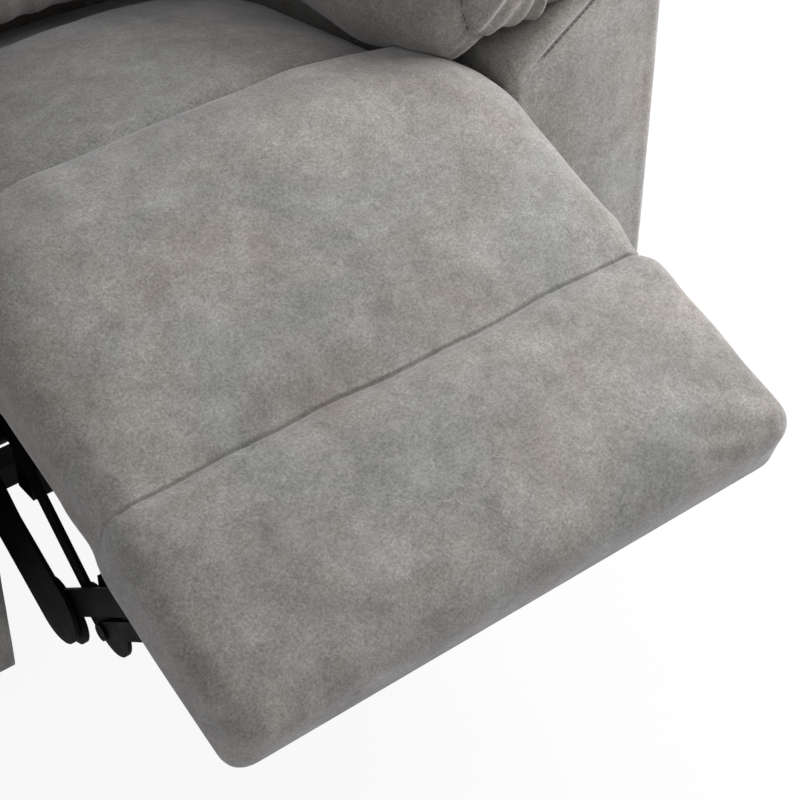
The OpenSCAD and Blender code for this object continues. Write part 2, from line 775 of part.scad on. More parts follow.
motor_wall = 4;
gear_size = [58, 50, 52];
motor_r = 24;
motor_len = 92;
fork_depth = 34;
fork_root = 12;
rod_hidden = 20;

// An actuator along +y from its nose, with its rod's bore open at the nose
module actuator(length, turn) {
    difference() {
        union() {
            translate([-motor_w / 2, 0, -motor_w / 2])
                cube([motor_w, length - gear_size[1] + motor_wall, motor_w]);
            translate([-gear_size[0] / 2, length - gear_size[1], -gear_size[2] / 2]) cube(gear_size);
            translate([turn * gear_size[0] / 2, length - gear_size[1] / 2, 0])
                rotate([0, turn * 90, 0]) {
                translate([0, 0, -motor_wall]) cylinder(r = motor_r, h = motor_len + motor_wall);
                translate([0, 0, motor_len])
                    cylinder(r1 = motor_r, r2 = motor_r - motor_wall, h = motor_wall);
            }
            translate([-motor_wall, length - motor_wall, -motor_wall * 2])
                cube([2 * motor_wall, lug_len + motor_wall, motor_wall * 4]);
        }
        translate([0, -overrun, 0]) rotate([-90, 0, 0])
            cylinder(r = rod_r + pin_play, h = length - gear_size[1] + overrun);
    }
}
lug_len = 14;

leg_motor_nose = 202;
module leg_motor() color("#242426") in_frame() {
    z = crank_p[1] - 2 * motor_wall;
    translate([-motor_x, leg_motor_nose, crank_p[1]]) actuator(seat_rear_y - leg_motor_nose - lug_len, 1);
    for (k = [-1, 1]) translate([k * 2 * motor_wall - motor_wall - motor_x, seat_rear_y - lug_len, z])
        cube([2 * motor_wall, 2 * lug_len, seat_rear_h - seat_tube[1] - z]);
}

back_motor_nose = 402;
module back_motor() color("#242426") in_frame()
    translate([motor_x, back_motor_nose, tail_p[1]]) mirror([0, 1, 0])
        actuator(back_motor_nose - mid_tube_y - seat_tube[0] / 2 - lug_len, -1);

// A rod along +y from the pin of its fork, which stands at the origin
module rod(length) {
    half = crank_t / 2 + near_gap;
    across = half + ear_t + bolt_head_t;
    for (k = [-1, 1]) translate([k > 0 ? half : -half - ear_t, 0, 0])
        rotate([90, 0, 90]) linear_extrude(ear_t) bar2d([0, 0], [fork_depth, 0], 2 * rod_r);
    translate([-half - ear_t, fork_depth - fork_root / 2, -rod_r])
        cube([2 * (half + ear_t), fork_root, 2 * rod_r]);
    translate([0, fork_depth, 0]) rotate([-90, 0, 0]) cylinder(r = rod_r, h = length - fork_depth);
    pin([0, 0], -across, 2 * across);
    for (k = [-1, 1]) pin([0, 0], k > 0 ? across - bolt_head_t : -across, bolt_head_t, bolt_head_r);
}

module leg_rod() color("#b9bbbe") in_frame() translate([-motor_x, crank_p[0], crank_p[1]])
    rod(leg_motor_nose - crank_p[0] + rod_hidden);

module back_rod() color("#b9bbbe") in_frame() translate([motor_x, tail_p[0], tail_p[1]])
    mirror([0, 1, 0]) rod(tail_p[0] - back_motor_nose + rod_hidden);

// --- Leg rest linkage

rear_link_r = 21;
bend_r = 34;
bend_out = 14;
bend_share = 0.6;
elbow_r = 36;
front_link_w = 18;
cross_link_w = 26;
toe_link_w = 18;
elbow_w = 50;
knuckle_w = 56;

// The rear link bends down between its pivots and ends in a broad elbow
bend_p = rear_p + bend_share * link_len * link_dir + bend_out * [-link_dir[1], link_dir[0]];
module rear_link(side) on_side(side) {
    difference() {
        plate(layer_x(rear_layer)) {
            taper2d(rear_p, bend_p, rear_link_r, bend_r);
            taper2d(bend_p, elbow_p, bend_r, elbow_r);
        }
        bore(rear_p);
        bore(torque_p, torque_tube_r + pin_play);
    }
    rivet(elbow_p, rear_layer, cross_layer);
}

module rear_link_left() color(steel) in_frame() rear_link(1);

module rear_link_right() color(steel) in_frame() rear_link(-1);

// A crank plate, and the slot that lets its pin keep to a straight line
crank_w = 30;
leg_slot_play = 2.6;
back_slot_play = 0.8;
module crank(x, from, to) {
    translate([x - crank_t / 2, 0, 0]) rotate([90, 0, 90]) linear_extrude(crank_t)
        bar2d(from, to, crank_w);
}

module crank_slot(x, pivot, to, play) {
    d = to - pivot;
    near = pivot + d * abs(d[1]) / norm(d);
    translate([x - crank_t, 0, 0]) rotate([90, 0, 90]) linear_extrude(2 * crank_t)
        bar2d(near, to, 2 * (pin_r + play));
}

module torque_tube() color(steel) in_frame() {
    half = layer_x(rear_layer) + link_t;
    difference() {
        union() {
            pin(torque_p, -half, 2 * half, torque_tube_r);
            crank(-motor_x, torque_p, crank_p);
        }
        pin(torque_p, -half - overrun, 2 * half + 2 * overrun, torque_tube_r - base_tube_wall);
        crank_slot(-motor_x, rear_p, crank_p, leg_slot_play);
    }
}

module front_link(side) on_side(side) {
    difference() {
        plate(layer_x(front_layer)) {
            bar2d(front_p, mid_p, front_link_w);
            bar2d(mid_p, toe_p, front_link_w);
            bar2d(mid_p + toe_v / 2, toe_p, knuckle_w);
        }
        bore(front_p);
        bore(mid_p);
    }
    rivet(toe_p, front_layer, cross_layer);
}

module front_link_left() color(steel) in_frame() front_link(1);

module front_link_right() color(steel) in_frame() front_link(-1);

tie_size = [30, 39];
tie_offset = [-24, 14];
module tie_tube() color(steel) in_frame()
    cross_tube(layer_x(front_layer), mid_p + tie_offset, tie_size, base_tube_wall);

// The cross link's lower end is a broad, rounded plate
module cross_link(side) on_side(side) {
    difference() {
        plate(layer_x(cross_layer)) {
            bar2d(elbow_p, heel_p, cross_link_w);
            bar2d(elbow_p, elbow_p + elbow_w / 3 * out_dir, elbow_w);
        }
        bore(elbow_p);
    }
    rivet(mid_p, cross_layer, front_layer);
    rivet(heel_p, cross_layer, front_layer);
}

module cross_link_left() color(steel) in_frame() cross_link(1);

module cross_link_right() color(steel) in_frame() cross_link(-1);

module toe_link(side) on_side(side) {
    difference() {
        plate(layer_x(cross_layer)) bar2d(toe_p, ball_p, toe_link_w);
        bore(toe_p);
    }
    rivet(ball_p, cross_layer, front_layer);
}

module toe_link_left() color(steel) in_frame() toe_link(1);

module toe_link_right() color(steel) in_frame() toe_link(-1);

// --- Leg rest

leg_bracket_s = [118, 292];
bracket_edge = 13;
rail_s = 250;
rail_size = [24, 24];
rail_low = 16;
board_s = [8, 318];
board_in = 18;
board_half_w = seat_w / 2 - board_in;

module at_leg() translate([0, fold_p[0], fold_p[1]]) rotate([leg_slope, 0, 0]) children();

module leg_bracket(side) on_side(side) {
    x = layer_x(front_layer);
    difference() {
        union() {
            plate(x) polygon([leg_at(leg_bracket_s[0] + steel_t, flange_low + steel_t / 2),
                leg_at(leg_bracket_s[1] - steel_t, flange_low + steel_t / 2),
                leg_at(rail_s + bracket_edge, flange_low - rail_size[1] - bracket_edge),
                ball_p - bracket_edge * up_dir, heel_p - bracket_edge * up_dir - bracket_edge * out_dir]);
            at_leg() translate([x - rail_t, -leg_bracket_s[1], flange_low])
                cube([rail_t + link_t, leg_bracket_s[1] - leg_bracket_s[0], steel_t]);
        }
        bore(heel_p);
        bore(ball_p);
    }
}

module leg_bracket_left() color(steel) in_frame() leg_bracket(1);

module leg_bracket_right() color(steel) in_frame() leg_bracket(-1);

module leg_cross_rail() color(steel) in_frame() at_leg()
    translate([0, -rail_s, flange_low - rail_low - rail_size[1] / 2]) difference() {
        cube([2 * layer_x(front_layer), rail_size[0], rail_size[1]], center = true);
        cube([2 * layer_x(front_layer) + 2 * overrun, rail_size[0] - 2 * base_tube_wall,
            rail_size[1] - 2 * base_tube_wall], center = true);
    }

module leg_board() color(dark_cloth) in_frame() at_leg()
    translate([-board_half_w, -board_s[1], board_low]) cube([2 * board_half_w,
        board_s[1] - board_s[0], leg_board_t]);

leg_crown = 9;
leg_side_r = 34;
chaise_seam_r = 14;
// How much of the sides' drawing in reaches the pads' ends at the seam
seam_share = 0.3;
// Rounding of the footrest pad's tip above and below, as shares of its bullnose
tip_shares = [0.86, 0.6];

module chaise_front() color(suede) in_frame() at_leg()
    translate([0, -near_gap, pad_low + near_gap]) rotate([0, 0, 180])
        pad(chaise_w, chaise_len - seam_gap / 2 - near_gap, leg_pad_t - near_gap, leg_crown,
            near_gap * 4, chaise_seam_r, near_gap * 4, leg_side_r, [1, seam_share]);

module footrest_pad() color(suede) in_frame() at_leg()
    translate([0, -chaise_len - seam_gap / 2, pad_low + near_gap]) rotate([0, 0, 180])
        pad(footrest_w, leg_len - chaise_len - seam_gap / 2, leg_pad_t - near_gap, leg_crown,
            chaise_seam_r, bullnose_r * tip_shares[0], bullnose_r * tip_shares[1], leg_side_r,
            [seam_share, 1]);

// --- Back

module at_back() translate([0, back_p[0], back_p[1]]) rotate([-back_tilt, 0, 0]) children();

cushion_back_v = -21;
frame_v = [-62, -24];
post_w = 30;
rail_us = [12, 250, 470, 618];
back_rail_t = 34;

module back_frame() color(wood) in_frame() at_back() {
    half = layer_x(seat_layer) - link_gap;
    for (side = [1, -1]) on_side(side) translate([half - post_w, -frame_v[1], rail_us[0]])
        cube([post_w, frame_v[1] - frame_v[0], back_len - rail_us[0] - 2 * cover_t]);
    for (u = rail_us) translate([-half + post_w + rail_joint, -frame_v[1], u])
        cube([2 * (half - post_w - rail_joint), frame_v[1] - frame_v[0], back_rail_t]);
}

web_w = 50;
web_t = 2;
web_xs = [-150, -50, 50, 150];
module back_webbing() color("#4a4642") in_frame() at_back()
    for (x = web_xs) translate([x - web_w / 2, -frame_v[1] - web_t - near_gap, rail_us[0]])
        cube([web_w, web_t, rail_us[3] + back_rail_t - rail_us[0]]);

// Steel bracket from the hanger pivot, past the seat's pivot, to the wooden post and the tail
module back_bracket(side) on_side(side) {
    x = layer_x(swing_layer);
    post_x = layer_x(seat_layer) - link_gap;
    post = [back_at(bracket_us[0], frame_v[0] / 2 + frame_v[1] / 2),
        back_at(bracket_us[1], frame_v[0] / 2 + frame_v[1] / 2)];
    difference() {
        union() {
            plate(x) {
                bar2d(back_hang_p, back_p, bracket_w);
                bar2d(back_p, back_tube_p, bracket_w);
                bar2d(back_p, post[0], bracket_w);
                bar2d(post[0], post[1], bracket_w);
            }
            for (p = post)
                pin(p, post_x, x - post_x + link_t / 2, bolt_head_r);
        }
        bore(back_hang_p);
    }
    rivet(back_p, swing_layer, seat_layer);
}
bracket_us = [60, 200];
bracket_w = 30;

module back_bracket_left() color(steel) in_frame() back_bracket(1);

module back_bracket_right() color(steel) in_frame() back_bracket(-1);

back_tube_r = 12;
back_tube_out = 50;
back_tube_p = back_p + back_tube_out * [sin(half_swing), -cos(half_swing)];
module back_tube() color(steel) in_frame() {
    half = layer_x(swing_layer);
    difference() {
        union() {
            pin(back_tube_p, -half, 2 * half, back_tube_r);
            crank(motor_x, back_tube_p, tail_p);
        }
        pin(back_tube_p, -half - overrun, 2 * half + 2 * overrun, back_tube_r - base_tube_wall);
        crank_slot(motor_x, back_p, tail_p, back_slot_play);
    }
}

// Outside back: a shell round the back of the frame, open to the front
cover_low = -104;
cover_front = cushion_back_v - near_gap;
cover_half_w = back_half_w - link_t;
cover_corner_r = 26;

module back_cover() color(suede) in_frame() at_back() {
    difference() {
        translate([0, 0, cover_low]) linear_extrude(back_len - cover_low) difference() {
            cover_outline(0);
            cover_outline(cover_t);
        }
        translate([-seat_w, -cover_front - overrun, cover_low - overrun])
            cube([2 * seat_w, cover_front - frame_v[0] + overrun, bracket_us[1] + bracket_w - cover_low]);
    }
    translate([0, 0, back_len - cover_t]) linear_extrude(cover_t) cover_outline(cover_t);
}

// Plan of the outside back, drawn in by t
module cover_outline(t) {
    r = cover_corner_r - t;
    half = cover_half_w - t;
    rear = -cover_v + cover_t - t;
    polygon(concat([[-half, -cover_front]], arc_pts([-half + r, rear - r], r, 180, 90, 4),
        arc_pts([half - r, rear - r], r, 90, 0, 4), [[half, -cover_front]]));
}

// Three crowned cushions, one above the other
back_seam_us = [54, 236, 442, 668];
back_crown = 16;
back_edge_r = 44;
module back_cushion(i, half) at_back() {
    low = back_seam_us[i] + seam_gap / 2;
    high = back_seam_us[i + 1] - seam_gap / 2;
    translate([0, -cushion_back_v, low]) rotate([90, 0, 0])
        pad(2 * half, high - low, back_face - cushion_back_v, back_crown, back_edge_r,
            back_edge_r, near_gap * 4, back_edge_r);
}

module lumbar_cushion() color(suede) in_frame() back_cushion(0, lumbar_half_w);

module middle_cushion() color(suede) in_frame() back_cushion(1, back_half_w);

module head_cushion() color(suede) in_frame() back_cushion(2, back_half_w);

module swing_link(side) on_side(side) difference() {
    plate(layer_x(swing_layer)) bar2d(swing_p, swing_hang_p, bracket_w);
    bore(swing_hang_p);
}

module swing_link_left() color(steel) in_frame() swing_link(1);

module swing_link_right() color(steel) in_frame() swing_link(-1);

arm_cover_left();
arm_cover_right();
arm_frame_left();
arm_frame_right();
arm_pad_left();
arm_pad_right();
base_plate_left();
base_plate_right();
base_front_tube();
base_rear_tube();
glides();
base_bolts();
control_plate();
power_inlet();
button_leg_up();
button_leg_down();
button_back_down();
button_back_up();
seat_plate_left();
seat_plate_right();
seat_frame();
seat_front_board();
seat_front_tube();
seat_mid_tube();
seat_rear_tube();
seat_springs();
seat_cushion();
chaise_rear();
leg_motor();
back_motor();
rear_link_left();
rear_link_right();
torque_tube();
front_link_left();
front_link_right();
tie_tube();
cross_link_left();
cross_link_right();
toe_link_left();
toe_link_right();
leg_bracket_left();
leg_bracket_right();
leg_cross_rail();
leg_board();
chaise_front();
footrest_pad();
back_bracket_left();
back_bracket_right();
back_tube();
back_frame();
back_webbing();
back_cover();
lumbar_cushion();
middle_cushion();
head_cushion();
swing_link_left();
swing_link_right();
leg_rod();
back_rod();
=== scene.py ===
import bpy, bmesh, json, math
import numpy as np
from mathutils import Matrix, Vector, noise
from mathutils.bvhtree import BVHTree


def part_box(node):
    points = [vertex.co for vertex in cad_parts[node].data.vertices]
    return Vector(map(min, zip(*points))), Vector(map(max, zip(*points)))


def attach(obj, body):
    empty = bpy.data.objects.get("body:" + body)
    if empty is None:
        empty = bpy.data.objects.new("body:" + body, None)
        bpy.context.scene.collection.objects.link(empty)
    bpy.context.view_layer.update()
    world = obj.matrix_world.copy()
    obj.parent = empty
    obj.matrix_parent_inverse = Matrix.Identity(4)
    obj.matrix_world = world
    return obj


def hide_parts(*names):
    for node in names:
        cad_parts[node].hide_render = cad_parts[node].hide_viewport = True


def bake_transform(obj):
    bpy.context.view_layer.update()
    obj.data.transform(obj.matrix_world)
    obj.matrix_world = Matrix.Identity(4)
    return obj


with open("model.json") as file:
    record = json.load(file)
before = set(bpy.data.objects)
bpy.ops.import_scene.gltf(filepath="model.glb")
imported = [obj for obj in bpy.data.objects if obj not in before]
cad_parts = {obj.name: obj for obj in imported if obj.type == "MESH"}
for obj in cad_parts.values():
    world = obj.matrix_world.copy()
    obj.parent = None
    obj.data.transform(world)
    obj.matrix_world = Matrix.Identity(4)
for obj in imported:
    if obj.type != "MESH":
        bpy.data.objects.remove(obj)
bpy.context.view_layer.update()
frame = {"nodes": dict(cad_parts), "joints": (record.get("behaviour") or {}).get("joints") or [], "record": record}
print("frame loaded")

# Places that the CAD gives: the arms' front plane, the fold line of the leg rest, the back's pivot
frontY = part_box("arm_cover_left")[0].y
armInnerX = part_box("arm_cover_left")[0].x
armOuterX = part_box("arm_cover_left")[1].x
joints = {j["name"]: j for j in frame["joints"]}
foldPoint = np.array(joints["footrest_fold"]["pos_m"], float)
legSlope = math.radians(90 - joints["footrest_fold"]["range_deg"][1])
legOut = np.array([0, -math.cos(legSlope), -math.sin(legSlope)])
legUp = np.array([0, -math.sin(legSlope), math.cos(legSlope)])
recline = math.radians(joints["back_recline"]["range_deg"][1])
hangerLength = 0.095
backPivot = np.array(joints["back_recline"]["pos_m"], float)
backPivot += hangerLength * np.array([0, math.sin(recline / 2), -math.cos(recline / 2)])
backTilt = math.radians(16)
backUp = np.array([0, math.sin(backTilt), math.cos(backTilt)])
backOut = np.array([0, -math.cos(backTilt), math.sin(backTilt)])

# Materials


def newMaterial(name):
    mat = bpy.data.materials.new(name)
    mat.use_nodes = True
    return mat, mat.node_tree, mat.node_tree.nodes["Principled BSDF"]


def noiseNode(nt, vector, scale, detail=4.0, rough=0.55, distort=0.0):
    node = nt.nodes.new("ShaderNodeTexNoise")
    node.inputs["Scale"].default_value = scale
    node.inputs["Detail"].default_value = detail
    node.inputs["Roughness"].default_value = rough
    node.inputs["Distortion"].default_value = distort
    nt.links.new(vector, node.inputs["Vector"])
    return node.outputs["Fac"]


def ramp(nt, value, stops):
    node = nt.nodes.new("ShaderNodeValToRGB")
    els = node.color_ramp.elements
    while len(els) < len(stops):
        els.new(0.5)
    for el, (pos, col) in zip(els, stops):
        el.position = pos
        el.color = (*col, 1)
    nt.links.new(value, node.inputs["Fac"])
    return node.outputs["Color"]


def grey(value):
    return (value, value, value)


def mixColor(nt, mode, factor, a, b):
    node = nt.nodes.new("ShaderNodeMix")
    node.data_type = "RGBA"
    node.blend_type = mode
    if isinstance(factor, (int, float)):
        node.inputs[0].default_value = factor
    else:
        nt.links.new(factor, node.inputs[0])
    for socket, value in ((node.inputs[6], a), (node.inputs[7], b)):
        if isinstance(value, tuple):
            socket.default_value = (*value, 1)
        else:
            nt.links.new(value, socket)
    return node.outputs[2]


def bump(nt, height, strength, distance, normal=None):
    node = nt.nodes.new("ShaderNodeBump")
    node.inputs["Strength"].default_value = strength
    node.inputs["Distance"].default_value = distance
    nt.links.new(height, node.inputs["Height"])
    if normal:
        nt.links.new(normal, node.inputs["Normal"])
    return node.outputs["Normal"]


suedeLook = {
    "dark": (0.178, 0.168, 0.152), "mid": (0.272, 0.259, 0.238), "light": (0.375, 0.360, 0.336),
    "warm": (0.285, 0.243, 0.205), "cool": (0.245, 0.262, 0.255), "tintShare": 0.30, "cloudShare": 0.55,
    # noises: scale, detail, roughness, distortion
    "patch": (6.0, 4.0, 0.6, 0.6), "cloud": (21.0, 5.0, 0.66, 0.5), "mottle": (75.0, 5.0, 0.7, 0.8),
    "tone": (5.2, 3.0, 0.55, 1.4), "vein": (24.0, 8.0, 0.74, 1.6), "veinPatch": (13.0, 3.0, 0.6, 0.5),
    "line": (33.0, 6.0, 0.7, 2.0), "grain": (430.0, 3.0, 0.75), "fibre": (1500.0, 2.0, 0.6),
    "veinShare": 0.42, "veinLight": (0.46, 0.445, 0.42), "veinDark": (0.17, 0.165, 0.155),
    "mottleRange": (0.89, 1.11), "grainRange": (0.74, 1.26),
    # bumps: strength, depth
    "fibreBump": (0.30, 0.0005), "grainBump": (0.30, 0.0008), "mottleBump": (0.22, 0.0016),
    "roughness": (0.72, 0.92), "specular": 0.30,
    "sheen": 0.35, "sheenRoughness": 0.42, "sheenTint": (0.82, 0.80, 0.90),
}


def suedeMaterial():
    look = suedeLook
    mat, nt, bsdf = newMaterial("suedeCloth")
    where = nt.nodes.new("ShaderNodeTexCoord").outputs["Object"]
    patch, cloud, mottle, tone, vein, veinPatch, lines, grain, fibre = [
        noiseNode(nt, where, *look[name])
        for name in ("patch", "cloud", "mottle", "tone", "vein", "veinPatch", "line", "grain", "fibre")]
    stops = [(0.32, look["dark"]), (0.50, look["mid"]), (0.68, look["light"])]
    colour = mixColor(nt, "MIX", look["cloudShare"], ramp(nt, patch, stops), ramp(nt, cloud, stops))
    tint = ramp(nt, tone, [(0.38, look["cool"]), (0.62, look["warm"])])
    colour = mixColor(nt, "MIX", look["tintShare"], colour, tint)
    # worn, lighter crackle in patches, and a few darker lines
    band = ramp(nt, vein, [(0.478, grey(0)), (0.497, grey(1)), (0.516, grey(0))])
    mask = ramp(nt, veinPatch, [(0.44, grey(0.15)), (0.62, grey(1))])
    share = mixColor(nt, "MULTIPLY", 1.0, mixColor(nt, "MULTIPLY", 1.0, band, mask), grey(look["veinShare"]))
    colour = mixColor(nt, "MIX", share, colour, look["veinLight"])
    line = ramp(nt, lines, [(0.540, grey(0)), (0.553, grey(0.22)), (0.566, grey(0))])
    colour = mixColor(nt, "MIX", line, colour, look["veinDark"])
    for value, (low, high) in ((mottle, look["mottleRange"]), (grain, look["grainRange"])):
        shade = ramp(nt, value, [(0.34, grey(low)), (0.66, grey(high))])
        colour = mixColor(nt, "MULTIPLY", 1.0, colour, shade)
    nt.links.new(colour, bsdf.inputs["Base Color"])
    low, high = look["roughness"]
    nt.links.new(ramp(nt, cloud, [(0.3, grey(high)), (0.7, grey(low))]), bsdf.inputs["Roughness"])
    normal = None
    for value, (strength, depth) in ((fibre, look["fibreBump"]), (grain, look["grainBump"]),
                                     (mottle, look["mottleBump"])):
        normal = bump(nt, value, strength, depth, normal)
    nt.links.new(normal, bsdf.inputs["Normal"])
    bsdf.inputs["Specular IOR Level"].default_value = look["specular"]
    bsdf.inputs["Sheen Weight"].default_value = look["sheen"]
    bsdf.inputs["Sheen Roughness"].default_value = look["sheenRoughness"]
    bsdf.inputs["Sheen Tint"].default_value = (*look["sheenTint"], 1)
    return mat


def plainMaterial(name, dark, light, scale, roughness, metallic=0.0, grain=600.0, depth=0.0004, strength=0.3,
                  stretch=(1, 1, 1), spec=0.5):
    mat, nt, bsdf = newMaterial(name)
    mapping = nt.nodes.new("ShaderNodeMapping")
    mapping.inputs["Scale"].default_value = stretch
    nt.links.new(nt.nodes.new("ShaderNodeTexCoord").outputs["Object"], mapping.inputs["Vector"])
    where = mapping.outputs["Vector"]
    tone = noiseNode(nt, where, scale, 5.0, 0.6, 0.4)
    nt.links.new(ramp(nt, tone, [(0.32, dark), (0.68, light)]), bsdf.inputs["Base Color"])
    fine = noiseNode(nt, where, grain, 3.0, 0.6)
    nt.links.new(bump(nt, fine, strength, depth), bsdf.inputs["Normal"])
    nt.links.new(ramp(nt, tone, [(0.3, grey(roughness * 0.85)), (0.7, grey(min(1.0, roughness * 1.15)))]),
                 bsdf.inputs["Roughness"])
    bsdf.inputs["Metallic"].default_value = metallic
    bsdf.inputs["Specular IOR Level"].default_value = spec
    return mat


suede = suedeMaterial()
thread = plainMaterial("seamThread", (0.050, 0.046, 0.042), (0.085, 0.080, 0.074), 400, 0.7, grain=2500)
blackSteel = plainMaterial("blackCoatedSteel", (0.0012, 0.0012, 0.0013), (0.0030, 0.0030, 0.0032), 40, 0.62,
                           grain=900, spec=0.06)
zinc = plainMaterial("zincPlatedSteel", (0.42, 0.43, 0.44), (0.60, 0.61, 0.62), 60, 0.34,
                     metallic=1.0, grain=700)
blackPlastic = plainMaterial("blackPlastic", (0.014, 0.014, 0.015), (0.024, 0.024, 0.025), 50, 0.5,
                             grain=1300)
greyPlastic = plainMaterial("greyPlastic", (0.045, 0.045, 0.048), (0.07, 0.07, 0.073), 50, 0.45, grain=1300)
bareWood = plainMaterial("bareWood", (0.36, 0.22, 0.11), (0.62, 0.45, 0.27), 7, 0.68, grain=160, depth=0.001,
                         stretch=(1, 6, 6))
darkCloth = plainMaterial("darkCloth", (0.0045, 0.0043, 0.004), (0.010, 0.0095, 0.009), 30, 0.9, grain=1500,
                          depth=0.0008, spec=0.12)
webCloth = plainMaterial("elasticWebbing", (0.05, 0.045, 0.04), (0.10, 0.09, 0.08), 90, 0.85, grain=1100)

slotMaterials = {
    "suede": suede, "dark_cloth": darkCloth, "black_steel": blackSteel, "zinc": zinc,
    "black_plastic": blackPlastic, "grey_plastic": greyPlastic, "wood": bareWood, "webbing": webCloth,
}
for row in frame["record"]["subparts"]:
    node = frame["nodes"][row["node"]]
    if not node.material_slots:
        node.data.materials.append(None)
    for materialSlot in node.material_slots:
        materialSlot.material = slotMaterials[row["material_slot"]]
print("materials made")

# Mesh helpers


def meshObject(name, points, faces, material=None):
    mesh = bpy.data.meshes.new(name)
    mesh.from_pydata([tuple(map(float, p)) for p in points], [], faces)
    mesh.update()
    obj = bpy.data.objects.new(name, mesh)
    bpy.context.scene.collection.objects.link(obj)
    mesh.materials.append(material or suede)
    mesh.polygons.foreach_set("use_smooth", [True] * len(mesh.polygons))
    return obj


def getPoints(mesh, what="co"):
    out = np.zeros(len(mesh.vertices) * 3)
    mesh.vertices.foreach_get(what, out)
    return out.reshape(-1, 3)


def setPoints(obj, co):
    obj.data.vertices.foreach_set("co", np.asarray(co, float).ravel())
    obj.data.update()


def applyModifiers(obj):
    mesh = bpy.data.meshes.new_from_object(obj.evaluated_get(bpy.context.evaluated_depsgraph_get()))
    obj.modifiers.clear()
    old = obj.data
    obj.data = mesh
    bpy.data.meshes.remove(old)


def smoothStep(t):
    t = np.clip(t, 0, 1)
    return t * t * (3 - 2 * t)


def hump(d, width):
    return np.exp(-(d / width) ** 2)


def softNoise(p, scale, seed=0.0):
    shift = Vector((seed, -seed, 2 * seed))
    return np.array([noise.noise(Vector(q) * scale + shift) for q in p])


def waves(p, rows):
    # unevenness of the filling, from rows of size, scale and seed
    return sum(size * softNoise(p, scale, seed) for size, scale, seed in rows)


def curveThrough(knots, values, at):
    # smooth curve through the knots
    knots, values, at = np.array(knots, float), np.array(values, float), np.asarray(at, float)
    slope = np.gradient(values, knots)
    i = np.clip(np.searchsorted(knots, at) - 1, 0, len(knots) - 2)
    step = knots[i + 1] - knots[i]
    t = (at - knots[i]) / step
    return ((2 * t ** 3 - 3 * t ** 2 + 1) * values[i] + (t ** 3 - 2 * t ** 2 + t) * step * slope[i]
            + (3 * t ** 2 - 2 * t ** 3) * values[i + 1] + (t ** 3 - t ** 2) * step * slope[i + 1])


def edgeLines(half, r, count, extra=()):
    # grid lines from -half to half, closer together where the edge turns
    turn = [half - r + r * math.tan(math.radians(a)) for a in (45, 36, 27, 18, 9)]
    lines = np.sort(np.r_[[-t for t in turn], np.linspace(r - half, half - r, count), turn, list(extra)])
    return lines[np.r_[True, np.diff(lines) > 0.0004]]


def boxGrid(xs, ys, zs):
    # a closed box of quads with grid lines at these places, its faces looking out
    nx, ny, nz = len(xs) - 1, len(ys) - 1, len(zs) - 1
    index, points, faces = {}, [], []

    def at(i, j, k):
        key = (i, j, k)
        if key not in index:
            index[key] = len(points)
            points.append((xs[i], ys[j], zs[k]))
        return index[key]

    for i in range(nx):
        for j in range(ny):
            faces.append((at(i, j, 0), at(i, j + 1, 0), at(i + 1, j + 1, 0), at(i + 1, j, 0)))
            faces.append((at(i, j, nz), at(i + 1, j, nz), at(i + 1, j + 1, nz), at(i, j + 1, nz)))
    for i in range(nx):
        for k in range(nz):
            faces.append((at(i, 0, k), at(i + 1, 0, k), at(i + 1, 0, k + 1), at(i, 0, k + 1)))
            faces.append((at(i, ny, k), at(i, ny, k + 1), at(i + 1, ny, k + 1), at(i + 1, ny, k)))
    for j in range(ny):
        for k in range(nz):
            faces.append((at(0, j, k), at(0, j, k + 1), at(0, j + 1, k + 1), at(0, j + 1, k)))
            faces.append((at(nx, j, k), at(nx, j + 1, k), at(nx, j + 1, k + 1), at(nx, j, k + 1)))
    return np.array(points), faces


def between(pair, t):
    return pair[0] + (pair[1] - pair[0]) * t


def roundBox(p, half, r):
    # rounds the box's edges; r gives each point's own radii
    q = np.clip(p, -(half - r), half - r)
    d = (p - q) / r
    return q + r * d / np.maximum(np.linalg.norm(d, axis=1, keepdims=True), 1e-9)


def cushionGrid(half, sideR, endR, faceR, counts, corner):
    # a rounded block whose radii change from the lower to the upper face
    p, faces = boxGrid(*[edgeLines(h, r, n) for h, r, n in zip(half, (sideR[1], endR[1], faceR), counts)])
    up = np.clip((p[:, 2] / half[2] + 1) / 2, 0, 1)
    rx, ry = between(sideR, up), between(endR, up)
    return roundBox(p, half, np.stack([rx, ry, corner(rx, ry)], 1)), faces


clothSettings = {
    "quality": 5, "mass": 0.3, "stretch": 15, "shear": 5, "bend": 0.5, "pressure": 4.0, "frames": 20,
    # the swelling is scaled so that all but the last few points stay within the reach
    "within": 97, "most": 1.15, "quickShare": 0.6,
}


def clothMove(obj, points, held):
    # how far each point moves when the cover is blown up like cloth; the held points stay
    c = clothSettings
    group = obj.vertex_groups.new(name="held")
    for i in np.nonzero(held > 0.001)[0]:
        group.add([int(i)], float(held[i]), "REPLACE")
    mod = obj.modifiers.new("cloth", "CLOTH")
    s = mod.settings
    s.quality = c["quality"]
    s.mass = c["mass"]
    s.tension_stiffness = s.compression_stiffness = c["stretch"]
    s.shear_stiffness = c["shear"]
    s.bending_stiffness = c["bend"]
    s.use_pressure = True
    s.uniform_pressure_force = c["pressure"]
    s.vertex_group_mass = "held"
    s.effector_weights.gravity = 0
    mod.collision_settings.use_collision = False
    mod.point_cache.frame_start = 1
    mod.point_cache.frame_end = c["frames"]
    scene = bpy.context.scene
    for f in range(1, c["frames"] + 1):
        scene.frame_set(f)
    applyModifiers(obj)
    scene.frame_set(1)
    return getPoints(obj.data) - points


